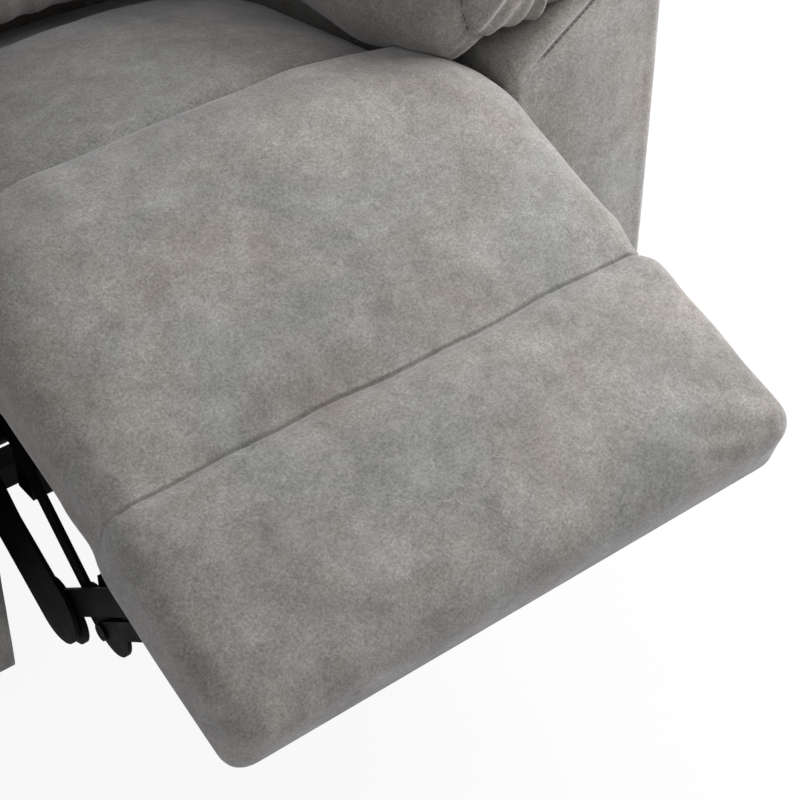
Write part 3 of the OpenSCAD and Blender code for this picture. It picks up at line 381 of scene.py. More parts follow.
def swell(points, faces, held, reach, limits=(1, 1, 1)):
    # swells a cover by its reach, less along some axes, and smooths it once
    c = clothSettings
    obj = meshObject("swelling", points, faces)
    move = clothMove(obj, points, held)
    size = np.linalg.norm(move, axis=1)
    print("  swelled by up to", round(float(size.max()) * 1000, 1), "mm")
    move *= (reach / max(np.percentile(size, c["within"]), 1e-9))
    size = np.linalg.norm(move, axis=1, keepdims=True)
    move *= np.minimum(1, c["most"] * reach / np.maximum(size, 1e-9))
    setPoints(obj, points + move * np.array(limits))
    mod = obj.modifiers.new("smooth", "SUBSURF")
    mod.levels = mod.render_levels = 1
    applyModifiers(obj)
    co, nrm = getPoints(obj.data), getPoints(obj.data, "normal")
    quads = [tuple(f.vertices) for f in obj.data.polygons]
    mesh = obj.data
    bpy.data.objects.remove(obj)
    bpy.data.meshes.remove(mesh)
    return co, nrm, quads


def surfaceTree(obj):
    return BVHTree.FromPolygons([v.co for v in obj.data.vertices], [f.vertices for f in obj.data.polygons])


def finishPad(obj, body, nodes):
    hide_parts(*nodes)
    if body:
        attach(obj, body)
    return obj


stitchLook = {
    "pitch": 0.0052, "length": 0.0045, "radius": 0.00055, "sides": 6, "lift": 0.0001,
    # thickness along each stitch
    "profile": ((0, 0.35), (0.15, 0.9), (0.5, 1.05), (0.85, 0.9), (1, 0.35)),
}


def stitchRow(name, path, cover, body):
    # a row of lock stitches laid on the cover along a path
    c = stitchLook
    tree = surfaceTree(cover)
    path = np.array(path, float)
    along = np.r_[0, np.cumsum(np.linalg.norm(np.diff(path, axis=0), axis=1))]
    points, faces = [], []
    for start in np.arange(c["pitch"] / 2, along[-1] - c["length"], c["pitch"]):
        ends = []
        for at in (start, start + c["length"]):
            spot, normal = tree.find_nearest(Vector([np.interp(at, along, path[:, i]) for i in range(3)]))[:2]
            ends.append((np.array(spot) + c["lift"] * np.array(normal), np.array(normal)))
        way = ends[1][0] - ends[0][0]
        if np.linalg.norm(way) < 1e-5:
            continue
        way /= np.linalg.norm(way)
        up = ends[0][1] - way * np.dot(ends[0][1], way)
        up /= max(np.linalg.norm(up), 1e-9)
        side = np.cross(way, up)
        first = len(points)
        for t, k in c["profile"]:
            middle = ends[0][0] * (1 - t) + ends[1][0] * t
            for i in range(c["sides"]):
                a = 2 * math.pi * i / c["sides"]
                points.append(middle + c["radius"] * k * (math.cos(a) * side + math.sin(a) * up))
        rings = len(c["profile"]) - 1
        for ring in range(rings):
            for i in range(c["sides"]):
                j = (i + 1) % c["sides"]
                a, b = first + ring * c["sides"], first + (ring + 1) * c["sides"]
                faces.append((a + i, a + j, b + j, b + i))
        faces.append(tuple(first + i for i in range(c["sides"]))[::-1])
        faces.append(tuple(first + rings * c["sides"] + i for i in range(c["sides"])))
    obj = meshObject(name, points, faces, thread)
    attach(obj, body)


# Leg rest: one pad from the seat's seam over the fold to the tip, with a sewn channel across it

legPad = {
    # places along the pad from the fold line
    "start": -0.1541, "seam": 0.1465, "tip": 0.353,
    "half": 0.282, "thick": 0.0845,
    # corner radii at the lower and at the upper face
    "sideR": (0.024, 0.034), "tipR": (0.020, 0.027), "seatR": (0.006, 0.014), "faceR": 0.030,
    "grid": (52, 46, 4),
    "channelLines": (-0.015, -0.009, -0.005, -0.0026, -0.0012, 0, 0.0012, 0.0026, 0.005, 0.009, 0.015),
    "widthAt": (-0.154, 0.0, 0.11, 0.1465, 0.157, 0.21, 0.30, 0.353),
    "width": (0.2768, 0.2768, 0.2770, 0.2772, 0.2800, 0.2835, 0.2848, 0.2848),
    # the upper and lower face seen from the side, with y from the arms' front plane
    "topAt": (-0.1545, -0.125, -0.10, -0.08, -0.065, -0.05),
    "topY": (0.1125, 0.0760, 0.0455, 0.0222, 0.0056, -0.0098),
    "topZ": (0.4815, 0.4825, 0.4798, 0.4745, 0.4680, 0.4610),
    "lowAt": (-0.1545, -0.03, -0.01, 0.012),
    "lowY": (0.1125, 0.0040, -0.0150, -0.0369),
    "lowZ": (0.3590, 0.3592, 0.3600, 0.3590),
    # beyond the fold both faces run straight, this far above the fold line
    "crest": 0.0365, "bottom": -0.0445, "straightAt": (0.02, 0.06, 0.12, 0.20, 0.28, 0.36),
    # how far the sides fall beside the seat: from where across (right, left) and where along
    "sideFall": 0.034, "fallAcross": (0.150, 0.095), "fallAlong": (-0.035, 0.095), "fallPower": 1.6,
    "reach": 0.010, "seamHold": 0.0050, "edgeHold": (0.75, 0.6),
    # the channel's groove, the dip beside it, its wander and the puckers of its pinched ends
    "grooveDepth": 0.0042, "groove": 0.0013, "dip": 0.0070, "dipSeat": 0.032, "dipTip": 0.010,
    "wander": ((0.0011, 21, 0.7), (0.0006, 57, 2)), "pinch": (0.262, 0.020),
    "pucker": 0.0008, "puckerPitch": 260, "puckerWidth": 0.012,
    "waves": ((0.0016, 9, 3.1), (0.0009, 26, 7.7)), "tipWave": (0.0012, 17, 1.3), "tipLength": 0.07,
    # how far before and after the fold line the pad bends
    "bend": (0.030, 0.034),
}


def legAt(x, s, h):
    zero = np.zeros(len(x))
    return foldPoint + np.stack([x, zero, zero], 1) + s[:, None] * legOut + h[:, None] * legUp


def legFaces(s):
    # upper and lower face as (y, z) along the pad
    c = legPad
    straight = np.array(c["straightAt"])
    out = []
    for face, h in (("top", c["crest"]), ("low", c["bottom"])):
        line = legAt(np.zeros(len(straight)), straight, np.full(len(straight), h))
        knots = np.r_[c[face + "At"], straight]
        out.append((curveThrough(knots, np.r_[np.array(c[face + "Y"]) + frontY, line[:, 1]], s),
                    curveThrough(knots, np.r_[c[face + "Z"], line[:, 2]], s)))
    return out


def placeLeg(p):
    # from (across, along, up from the pad's middle) to the chair's frame
    c = legPad
    s = np.clip(p[:, 1], c["start"], c["tip"] + 0.012)
    (topY, topZ), (lowY, lowZ) = legFaces(s)
    k = p[:, 2] / c["thick"] + 0.5
    fallFrom = np.where(p[:, 0] < 0, *c["fallAcross"])
    across = np.clip((np.abs(p[:, 0]) - fallFrom) / (c["half"] - fallFrom), 0, 1)
    fallAt, fallLength = c["fallAlong"]
    fall = c["sideFall"] * across ** c["fallPower"] * smoothStep((fallAt - s) / fallLength)
    return np.stack([p[:, 0], lowY + (topY - lowY) * k, lowZ + (topZ - lowZ - fall) * k], 1)


def legGrid():
    # the flat pad and how firmly each of its points is held while it swells
    c = legPad
    middle, halfLen, halfThick = (c["start"] + c["tip"]) / 2, (c["tip"] - c["start"]) / 2, c["thick"] / 2
    channel = [c["seam"] - middle + d for d in c["channelLines"]]
    p, faces = boxGrid(edgeLines(c["half"], c["sideR"][1], c["grid"][0]),
                       edgeLines(halfLen, c["tipR"][1], c["grid"][1], channel),
                       edgeLines(halfThick, c["faceR"], c["grid"][2]))
    up = np.clip((p[:, 2] / halfThick + 1) / 2, 0, 1)
    tipSide = p[:, 1] > 0
    rx = between(c["sideR"], up)
    ry = between([np.where(tipSide, tip, seat) for tip, seat in zip(c["tipR"], c["seatR"])], up)
    radii = [np.where(tipSide, np.minimum(rx, ry), rx), ry, np.where(tipSide, ry, rx)]
    p = roundBox(p, np.array([c["half"], halfLen, halfThick]), np.stack(radii, 1))
    p[:, 1] += middle
    p[:, 0] *= curveThrough(c["widthAt"], c["width"], p[:, 1]) / c["half"]
    up = p[:, 2] / halfThick
    onSeam = hump(p[:, 1] - c["seam"], c["seamHold"])
    held = np.clip(smoothStep((-up - 0.1) / 0.5) + onSeam * smoothStep((up + 0.4) / 0.5)
                   + smoothStep((c["start"] + 0.02 - p[:, 1]) / 0.015) * 0.8, 0, 1)
    side = np.abs(p[:, 0]) / c["half"]
    edgeHold = np.where(p[:, 1] < c["seam"], *c["edgeHold"])
    return p, faces, np.maximum(held, edgeHold * smoothStep((side - 0.93) / 0.06))


def makeLegPad():
    c = legPad
    p, faces, held = legGrid()
    co, nrm, quads = swell(p, faces, held, c["reach"], limits=(0.35, 0.5, 1))
    x, s = co[:, 0], co[:, 1]
    top = smoothStep((co[:, 2] / (c["thick"] / 2) + 0.55) / 0.6)
    d = s - c["seam"]
    for size, pitch, phase in c["wander"]:
        d = d - size * np.sin(x * pitch + phase)
    edge = smoothStep((np.abs(x) - c["pinch"][0]) / c["pinch"][1])
    groove = c["grooveDepth"] * hump(d, c["groove"]) * (1 - 0.75 * edge)
    dip = c["dip"] * np.where(d < 0, hump(d, c["dipSeat"]), hump(d, c["dipTip"])) * (1 - 0.55 * edge)
    pucker = (c["pucker"] * np.sin(x * c["puckerPitch"] + 3 * np.sin(x * 19))
              * hump(d, c["puckerWidth"]) * (0.35 + edge))
    wave = waves(co, c["waves"])
    size, scale, seed = c["tipWave"]
    tip = smoothStep((s - c["tip"] + c["tipLength"]) / 0.06)
    wave += tip * size * softNoise(co * np.array([1, 0.3, 0.3]), scale, seed)
    co = co + nrm * ((wave + pucker - groove - dip) * top)[:, None]
    obj = meshObject("legPad", placeLeg(co), [f[::-1] for f in quads])
    finishPad(obj, None, ["chaise_rear", "chaise_front", "footrest_pad"])
    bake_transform(obj)
    return obj


# Seat cushion

seatCushion = {
    "half": 0.2535, "front": 0.1140, "rear": 0.452, "low": 0.3560, "top": 0.474,
    "sideR": (0.020, 0.044), "endR": (0.014, 0.024), "faceR": 0.034, "grid": (46, 34, 5),
    # the top falls to the rear and to the sides, and more under the lumbar cushion
    "fall": 0.066, "sideDrop": 0.046, "sidePower": 2.4, "tuck": 0.014, "tuckAt": (0.69, 0.15),
    "crown": 0.006, "reach": 0.010, "waves": ((0.0018, 8, 5.2), (0.0008, 30, 2.2)),
}


def makeSeatCushion():
    c = seatCushion
    half = np.array([c["half"], (c["rear"] - c["front"]) / 2, (c["top"] - c["low"]) / 2])
    p, faces = cushionGrid(half, c["sideR"], c["endR"], c["faceR"], c["grid"], np.minimum)
    along = p[:, 1] / half[1]
    up = np.clip((p[:, 2] / half[2] + 1) / 2, 0, 1)
    held = np.clip(smoothStep((0.5 - up) / 0.3) + smoothStep((np.abs(along) - 0.95) / 0.05), 0, 1)
    co, nrm, quads = swell(p, faces, held, c["reach"], limits=(0.3, 0.2, 1))
    across, along = co[:, 0] / half[0], co[:, 1] / half[1]
    t, up = (along + 1) / 2, np.clip((co[:, 2] / half[2] + 1) / 2, 0, 1.3)
    co = co + nrm * (waves(co, c["waves"]) * up)[:, None]
    lift = (c["crown"] * (1 - across ** 2) * np.sin(math.pi * np.clip(t, 0, 1))
            - c["sideDrop"] * np.abs(across) ** c["sidePower"])
    tuck = c["tuck"] * smoothStep((t - c["tuckAt"][0]) / c["tuckAt"][1])
    z = (c["low"] + c["top"]) / 2 + co[:, 2] + (lift - c["fall"] * t - tuck) * up
    y = frontY + c["front"] + half[1] + co[:, 1]
    obj = meshObject("seatCushion", np.stack([co[:, 0], y, z], 1), quads)
    return finishPad(obj, "seat", ["seat_cushion"])


# Back: three cushions one above the other, and the outside cover

backPads = {
    # the lumbar cushion's lower half comes forward and sags
    "lumbarCushion": {"node": "lumbar_cushion", "low": 0.0545, "high": 0.2355, "half": 0.252,
                      "reach": 0.013, "belly": 0.050, "sag": 0.014},
    "middleCushion": {"node": "middle_cushion", "low": 0.2365, "high": 0.4415, "half": 0.270,
                      "reach": 0.013, "belly": 0, "sag": 0},
    "headCushion": {"node": "head_cushion", "low": 0.4425, "high": 0.668, "half": 0.270,
                    "reach": 0.015, "belly": 0, "sag": 0},
}
backShape = {
    "face": 0.094, "rear": -0.0205, "sideR": (0.014, 0.044), "seamR": (0.012, 0.040), "faceR": 0.040,
    "grid": (44, 16, 5),
    # gathers along the seams between the cushions
    "gather": 0.0011, "gatherPitch": 190, "gatherWidth": 0.030, "waveSizes": (0.0022, 0.0010),
    # the belly is fullest this far out, and ends beside the arm pads
    "bellyAt": 0.15, "bellyEnd": (0.165, 0.06), "bellyMiddle": 0.74,
}


def backAt(x, u, v):
    zero = np.zeros(len(x))
    return backPivot + np.stack([x, zero, zero], 1) + u[:, None] * backUp + v[:, None] * backOut


def makeBackPad(name, seed):
    c, b = backPads[name], backShape
    half = np.array([c["half"], (c["high"] - c["low"]) / 2, (b["face"] - b["rear"]) / 2])
    p, faces = cushionGrid(half, b["sideR"], b["seamR"], b["faceR"], b["grid"], np.maximum)
    up = p[:, 2] / half[2]
    held = np.clip(smoothStep((-up + 0.1) / 0.5)
                   + smoothStep((np.abs(p[:, 1]) / half[1] - 0.97) / 0.03), 0, 1)
    co, nrm, quads = swell(p, faces, held, c["reach"], limits=(0.5, 0.15, 1))
    nearSeam = hump(half[1] - np.abs(co[:, 1]), b["gatherWidth"])
    gather = (b["gather"] * np.sin(co[:, 0] * b["gatherPitch"] + 4 * np.sin(co[:, 0] * 13 + seed) + seed)
              * nearSeam)
    broad, fine = b["waveSizes"]
    wave = waves(co, ((broad, 7, seed), (fine, 24, seed + 9)))
    front = smoothStep((co[:, 2] / half[2] + 0.6) / 0.6)
    co = co + nrm * ((wave + gather) * front)[:, None]
    low = smoothStep((0.035 - co[:, 1]) / 0.10)
    aside = np.abs(co[:, 0])
    full = b["bellyMiddle"] + (1 - b["bellyMiddle"]) * np.clip(aside / b["bellyAt"], 0, 1) ** 2
    sides = full * (1 - 0.75 * smoothStep((aside - b["bellyEnd"][0]) / b["bellyEnd"][1]))
    co[:, 2] += c["belly"] * low * sides * front
    co[:, 1] -= c["sag"] * low * front * sides
    place = backAt(co[:, 0], (c["low"] + c["high"]) / 2 + co[:, 1], (b["face"] + b["rear"]) / 2 + co[:, 2])
    obj = meshObject(name, place, [f[::-1] for f in quads])
    finishPad(obj, "back", [c["node"]])


backCover = {
    "low": -0.104, "high": 0.668, "front": -0.0213, "rear": -0.084, "half": 0.268, "corner": 0.026,
    "edgeR": 0.003, "topR": 0.018, "hemR": 0.006,
    # seams: one down each side, the yoke's above and the hem's below
    "seamX": 0.205, "hem": -0.080, "yoke": 0.560, "groove": 0.0015, "grooveDepth": 0.0026,
    "seamLines": (-0.010, -0.004, -0.0018, 0, 0.0018, 0.004, 0.010),
    "puff": 0.0045, "waves": ((0.0012, 8, 4.4), (0.0005, 31, 6.1)), "sideWave": (0.0006, 12, 8.8),
    # thin below the brackets, where the seat's frame passes in front of it
    "thinBelow": 0.075, "thinShare": 0.20,
    "stitchBeside": 0.0045, "stitchBehind": 0.004,
}


def coverGrid():
    c = backCover
    half = np.array([c["half"], (c["high"] - c["low"]) / 2, (c["front"] - c["rear"]) / 2])
    middle = np.array([0, (c["high"] + c["low"]) / 2, (c["front"] + c["rear"]) / 2])
    seamXs = [side * c["seamX"] + d for side in (-1, 1) for d in c["seamLines"]]
    seamYs = [at - middle[1] + d for at in (c["hem"], c["yoke"]) for d in c["seamLines"]]
    p, faces = boxGrid(edgeLines(half[0], c["corner"], 34, seamXs), edgeLines(half[1], 0.020, 48, seamYs),
                       edgeLines(half[2], 0.022, 4))
    rear = np.clip((1 - p[:, 2] / half[2]) / 2, 0, 1)
    rx = between((c["edgeR"], c["corner"]), rear)
    ry = np.where(p[:, 1] > 0, c["topR"], c["hemR"]) * (0.3 + 0.7 * rear)
    rz = np.minimum(rx, np.maximum(ry, c["edgeR"]))
    return roundBox(p, half, np.stack([rx, ry, rz], 1)), faces, half, middle


def makeBackCover():
    c = backCover
    p, faces, half, middle = coverGrid()
    flat = meshObject("covering", p, faces)
    nrm = getPoints(flat.data, "normal")
    bpy.data.objects.remove(flat)
    x, y = p[:, 0], p[:, 1] + middle[1]
    behind = smoothStep((-p[:, 2] / half[2] - 0.5) / 0.4)
    centre = np.clip(1 - (x / c["seamX"]) ** 2, 0, 1)
    field = np.clip((c["yoke"] - y) * (y - c["hem"]) / ((c["yoke"] - c["hem"]) / 2) ** 2, 0, 1)
    puffed = c["puff"] * np.sqrt(centre * field)
    seams = [np.abs(np.abs(x) - c["seamX"]), np.abs(y - c["hem"]), np.abs(y - c["yoke"])]
    groove = c["grooveDepth"] * np.maximum.reduce([hump(d, c["groove"]) for d in seams])
    size, scale, seed = c["sideWave"]
    sideWave = size * softNoise(p, scale, seed) * (1 - behind)
    p = p + nrm * ((puffed + waves(p, c["waves"]) - groove) * behind)[:, None] + nrm * sideWave[:, None]
    p = p + middle
    thin = smoothStep((c["thinBelow"] - p[:, 1]) / 0.03) * (p[:, 2] > c["rear"])
    p[:, 2] = c["rear"] + (p[:, 2] - c["rear"]) * (1 - (1 - c["thinShare"]) * thin)
    obj = meshObject("backCover", backAt(p[:, 0], p[:, 1], p[:, 2]), [f[::-1] for f in faces])
    finishPad(obj, "back", ["back_cover"])
    beside, behindCover = c["stitchBeside"], c["rear"] - c["stitchBehind"]

    def stitched(name, xs, us):
        xs, us = np.broadcast_arrays(xs, us)
        stitchRow(name, backAt(xs, us, np.full(len(xs), behindCover)), obj, "back")

    for side, label in ((1, "left"), (-1, "right")):
        stitched("backSeam_" + label, side * (c["seamX"] + beside),
                 np.linspace(c["low"] + 0.012, c["high"] - 0.012, 90))
    stitched("backSeam_yoke", np.linspace(-c["seamX"] + 0.008, c["seamX"] - 0.008, 60), c["yoke"] + beside)
    stitched("backSeam_hem", np.linspace(-c["half"] + 0.02, c["half"] - 0.02, 80), c["hem"] - beside)


# Arms: covers with a padded, seamed front panel, and gathered pillow pads on top

armShape = {
    "low": 0.052, "deck": 0.4578, "slope": 33.2, "innerR": 0.018, "crestR": 0.055, "depth": 0.690,
    # points up the inner side, round the corner, over the deck and the crest, down and under
    "counts": (28, 6, 12, 16, 30, 14),
    "edge": 0.012, "edgeTurns": (0, 12, 25, 40, 55, 72, 90),
    # the panel's seam beside its edge: (distance, share of the groove)
    "seamIn": 0.0045, "groove": 0.0034,
    "seamProfile": ((0.006, 0), (0.0018, 0.12), (0.0008, 0.7), (0, 1), (-0.0008, 0.7), (-0.0018, 0.12)),
    "ridge": (0.0007, 0.0085, 0.0022), "ridgeFoot": (0.0005, 0.0125, 0.0018),
    # the panel's rings close towards a middle line, and it swells this far
    "shares": (0.90, 0.80, 0.68, 0.56, 0.45, 0.34, 0.25, 0.17, 0.10, 0.05, 0.02), "spineTop": 0.035,
    "crownFront": 0.007, "crownRear": 0.003, "crownReach": 0.075, "outlineSteps": 1600,
    # fading of the seam down the crest, and how short the small inner corner's steps are
    "seamEnd": (0.500, 0.02), "cornerStep": 0.005,
    "waves": ((0.0011, 7, 2.5), (0.0005, 26, 5.5)), "outerShare": 0.4,
}


def armOutline():
    c = armShape
    width = armOuterX - armInnerX
    slope = math.radians(c["slope"])
    t, k = math.tan(slope), 1 / math.cos(slope)
    innerAt = np.array([c["innerR"], c["deck"] + c["innerR"] * (t - k)])
    crestAt = np.array([width - c["crestR"], c["deck"] + (width - c["crestR"]) * t - c["crestR"] * k])
    upCount, innerCount, deckCount, crestCount, downCount, underCount = c["counts"]

    def arc(centre, r, start, stop, count):
        a = np.radians(np.linspace(start, stop, count))
        return np.stack([centre[0] + r * np.cos(a), centre[1] + r * np.sin(a)], 1)

    inner = arc(innerAt, c["innerR"], 180, 90 + c["slope"], innerCount)
    crest = arc(crestAt, c["crestR"], 90 + c["slope"], 0, crestCount)
    up = np.stack([np.zeros(upCount), np.linspace(c["low"], innerAt[1], upCount, endpoint=False)], 1)
    deck = inner[-1] + (crest[0] - inner[-1]) * np.linspace(0, 1, deckCount)[1:-1, None]
    down = np.stack([np.full(downCount - 1, width), np.linspace(crestAt[1], c["low"], downCount)[1:]], 1)
    under = np.stack([np.linspace(width, 0, underCount)[1:-1], np.full(underCount - 2, c["low"])], 1)
    return np.vstack([up, inner, deck, crest, down, under])


def outlineNormals(p):
    d = np.roll(p, -1, 0) - np.roll(p, 1, 0)
    n = np.stack([d[:, 1], -d[:, 0]], 1)
    n /= np.maximum(np.linalg.norm(n, axis=1, keepdims=True), 1e-9)
    area = np.sum(p[:, 0] * np.roll(p[:, 1], -1) - np.roll(p[:, 0], -1) * p[:, 1])
    return n if area > 0 else -n


def armInset(d):
    # the outline moved inwards by d; the small inner corner takes a shorter step, so that it never folds
    c = armShape
    outline, width, edge, step = armOutline(), armOuterX - armInnerX, c["edge"], c["cornerStep"]
    order = np.arange(len(outline))
    first = c["counts"][0] - 1
    corner = (order >= first) & (order <= first + c["counts"][1] + 1)
    short = edge + step * (1 - math.exp((edge - d) / step)) if d > edge else d
    q = outline - outlineNormals(outline) * np.where(corner, short, d)[:, None]
    x, z = outline[:, 0], outline[:, 1]
    q[:, 1] = np.maximum(q[:, 1], c["low"] + d + 0.05 * (z - c["low"]))
    below = z < c["low"] + 0.001
    q[below, 0] = np.clip(q[below, 0], d + 0.05 * x[below], width - d - 0.05 * (width - x[below]))
    return q


def armPanel(crown):
    # rings of a padded end panel, which swells with the distance from its edge
    c = armShape
    outline, half = armOutline(), (armOuterX - armInnerX) / 2
    inner = armInset(c["edge"] + c["seamIn"] + 0.009)
    spineZ = np.clip(outline[:, 1], c["low"] + half, c["deck"] - c["spineTop"])
    spine = np.stack([np.full(len(outline), half), spineZ], 1)
    closed = np.vstack([outline, outline[:1]])
    at = np.linspace(0, len(outline), c["outlineSteps"], endpoint=False)
    fine = np.stack([np.interp(at, np.arange(len(closed)), closed[:, i]) for i in (0, 1)], 1)
    piece = np.linalg.norm(np.roll(fine, -1, 0) - fine, axis=1)
    rings = []
    for f in c["shares"]:
        q = inner + (spine - inner) * f
        near = np.linalg.norm(q[:, None] - fine[None], axis=2)
        away = np.sqrt(2 / np.sum(piece / near ** 3, axis=1)) - c["edge"]
        rings.append((q, -crown * smoothStep(away / c["crownReach"])))
    return rings


def armRings():
    # the cover's rings as (points, y) from the front panel's middle to the rear panel's
    c = armShape
    outline, edge, depth = armOutline(), c["edge"], c["depth"]
    x, z = outline[:, 0], outline[:, 1]
    half = (armOuterX - armInnerX) / 2
    # the seam shows on the deck and the crest, and fades down the outer side
    onDeck = np.arange(len(outline)) > sum(c["counts"][:2])
    onCrest = smoothStep((z - c["seamEnd"][0]) / c["seamEnd"][1]) * (x > half)
    shown = np.where(onDeck, onCrest + (x <= half) * (z > c["low"] + 0.01), 0)
    seam = [(armInset(edge + c["seamIn"] + d), k * c["groove"] * shown) for d, k in c["seamProfile"]]
    turned = []
    for a in np.radians(c["edgeTurns"]):
        turned.append((armInset(edge * (1 - math.sin(a))), edge * (1 - math.cos(a))))
    front = armPanel(c["crownFront"]) + seam + turned
    rear = armPanel(c["crownRear"]) + seam + turned
    sides = [(outline, y) for y in np.linspace(edge, depth - edge, 46)[1:-1]]
    return front + sides + [(q, depth - y) for q, y in reversed(rear)]


def sweepFaces(rings, count, flip):
    # quads from ring to ring, and a face that closes each end
    faces = []
    for i in range(rings - 1):
        for j in range(count):
            k = (j + 1) % count
            faces.append((i * count + j, i * count + k, (i + 1) * count + k, (i + 1) * count + j))
    faces += [tuple(range(count))[::-1], tuple(range((rings - 1) * count, rings * count))]
    return [f[::-1] for f in faces] if flip else faces


def armAt(side, q, y):
    return np.stack([side * (armInnerX + q[:, 0]), frontY + np.broadcast_to(y, len(q)), q[:, 1]], 1)


def makeArmCover(side, label):
    c = armShape
    depth = c["depth"]
    rings = armRings()
    points = np.vstack([armAt(side, q, y) for q, y in rings])
    obj = meshObject("armCover_" + label, points, sweepFaces(len(rings), len(rings[0][0]), side < 0))
    work = bmesh.new()
    work.from_mesh(obj.data)
    bmesh.ops.triangulate(work, faces=[f for f in work.faces if len(f.verts) > 4], ngon_method="BEAUTY")
    work.to_mesh(obj.data)
    work.free()
    obj.data.update()
    co, nrm = getPoints(obj.data), getPoints(obj.data, "normal")
    y = co[:, 1] - frontY
    wave = waves(co, [(size, scale, seed + side) for size, scale, seed in c["waves"]])
    # a faint ridge on the deck's side of the seam
    fromSeam = np.minimum(y, depth - y)
    (high, highAt, highWide), (low, lowAt, lowWide) = c["ridge"], c["ridgeFoot"]
    ridge = high * hump(fromSeam - highAt, highWide) - low * hump(fromSeam - lowAt, lowWide)
    ridge *= smoothStep((co[:, 2] - c["deck"] - 0.012) / 0.02) * (side * co[:, 0] < armOuterX - 0.012)
    outside = side * co[:, 0] > armOuterX - 0.004
    co = co + nrm * (np.where(outside, c["outerShare"], 1) * wave + ridge)[:, None]
    setPoints(obj, co)
    finishPad(obj, "base", ["arm_cover_" + label])
    # stitches in the seams, over the deck and the crest
    first = sum(c["counts"][:2]) + 1
    path = armInset(c["edge"] + c["seamIn"])[first:first + 19]
    for name, y in (("armSeam_", -0.001), ("armRearSeam_", depth + 0.001)):
        stitchRow(name + label, armAt(side, path, y), obj, "base")
    return obj


armPad = {
    "half": 0.134, "rise": 0.082, "tilt": 14, "midX": 0.053, "midZ": 0.563, "power": 0.66,
    "front": 0.014, "rear": 0.682, "shrink": 0.003, "reach": 0.0055, "turns": 96,
    # the inner side draws back beside the back cushions
    "drawStart": 0.325, "drawEnd": 0.370, "draw": 0.0833,
    # how full the pad is at each distance from its front and rear ends
    "endLength": 0.095,
    "frontFull": ((0, 0.002, 0.006, 0.014, 0.030, 0.06, 0.095), (0.70, 0.80, 0.88, 0.945, 0.975, 0.995, 1)),
    "frontWide": ((0, 0.002, 0.006, 0.014, 0.030, 0.06, 0.095), (0.52, 0.60, 0.66, 0.73, 0.85, 0.95, 1)),
    "rearFull": ((0, 0.005, 0.016, 0.038, 0.066, 0.095), (0.52, 0.66, 0.80, 0.92, 0.98, 1)),
    "closing": (0.04, 0.14, 0.28, 0.44, 0.60, 0.76, 0.90), "frontHollow": 0.010, "rearHollow": 0.008,
    # end seams, their wavy line, and the folds gathered into them
    "seamAt": 0.014, "rearSeamAt": 0.030, "seamWave": 0.003, "gather": 0.0045, "rearGather": 0.8,
    "seamLines": (-0.008, -0.005, -0.0025, -0.001, 0, 0.001, 0.0025, 0.005, 0.009, 0.014),
    "grooves": ((0.0050, 0.0024), (0.004, 0.010)), "beyond": 0.0014,
    "waves": ((0.0022, 8, 1.7), (0.0011, 22, 8.1)),
    # how far the inner side sinks at the front and behind, spreads, and stays off what carries it
    "drape": (0.032, 0.046), "spread": 0.004, "rest": 0.0012,
}


def padRings():
    c = armPad
    length, endLength = c["rear"] - c["front"], c["endLength"]
    tilt = math.radians(c["tilt"])
    ys = np.sort(np.r_[[0, 0.002], np.linspace(0.03, endLength, 9), [c["seamAt"] + q for q in c["seamLines"]],
                       [length - c["rearSeamAt"] - q for q in c["seamLines"]],
                       np.linspace(endLength, length - endLength, 46),
                       np.linspace(length - endLength, length, 15)])
    ys = ys[np.r_[True, np.diff(ys) > 0.0008]]
    # each ring's place, width and height; the ends close towards a gathered middle
    wide, full, rearFull = c["frontWide"], c["frontFull"], c["rearFull"]
    plan = [(c["frontHollow"] * (1 - q) ** 2 - 0.0015, wide[1][0] * q, full[1][0] * q) for q in c["closing"]]
    for at in ys:
        rear = np.interp(length - at, *rearFull)
        plan.append((at, np.interp(at, *wide) * rear, np.interp(at, *full) * rear))
    for q in reversed(c["closing"]):
        closed = rearFull[1][0] * q
        plan.append((length - c["rearHollow"] * (1 - q) ** 2 + 0.0015, closed, closed))
    a = -2 * np.pi * np.arange(c["turns"]) / c["turns"]
    ca, sa = np.cos(a), np.sin(a)
    rings = []
    for at, kx, kz in plan:
        y = c["front"] + at
        shift = c["draw"] * smoothStep((y - c["drawStart"]) / (c["drawEnd"] - c["drawStart"]))
        shrink = 1 - c["shrink"] / c["rise"]
        px = kx * (c["half"] - shift / 2 - c["shrink"]) * np.sign(ca) * np.abs(ca) ** c["power"]
        pz = kz * c["rise"] * shrink * np.sign(sa) * np.abs(sa) ** c["power"]
        rings.append(np.stack([c["midX"] + shift / 2 + px * math.cos(tilt) - pz * math.sin(tilt),
                               np.full(c["turns"], y),
                               c["midZ"] + px * math.sin(tilt) + pz * math.cos(tilt)], 1))
    return rings


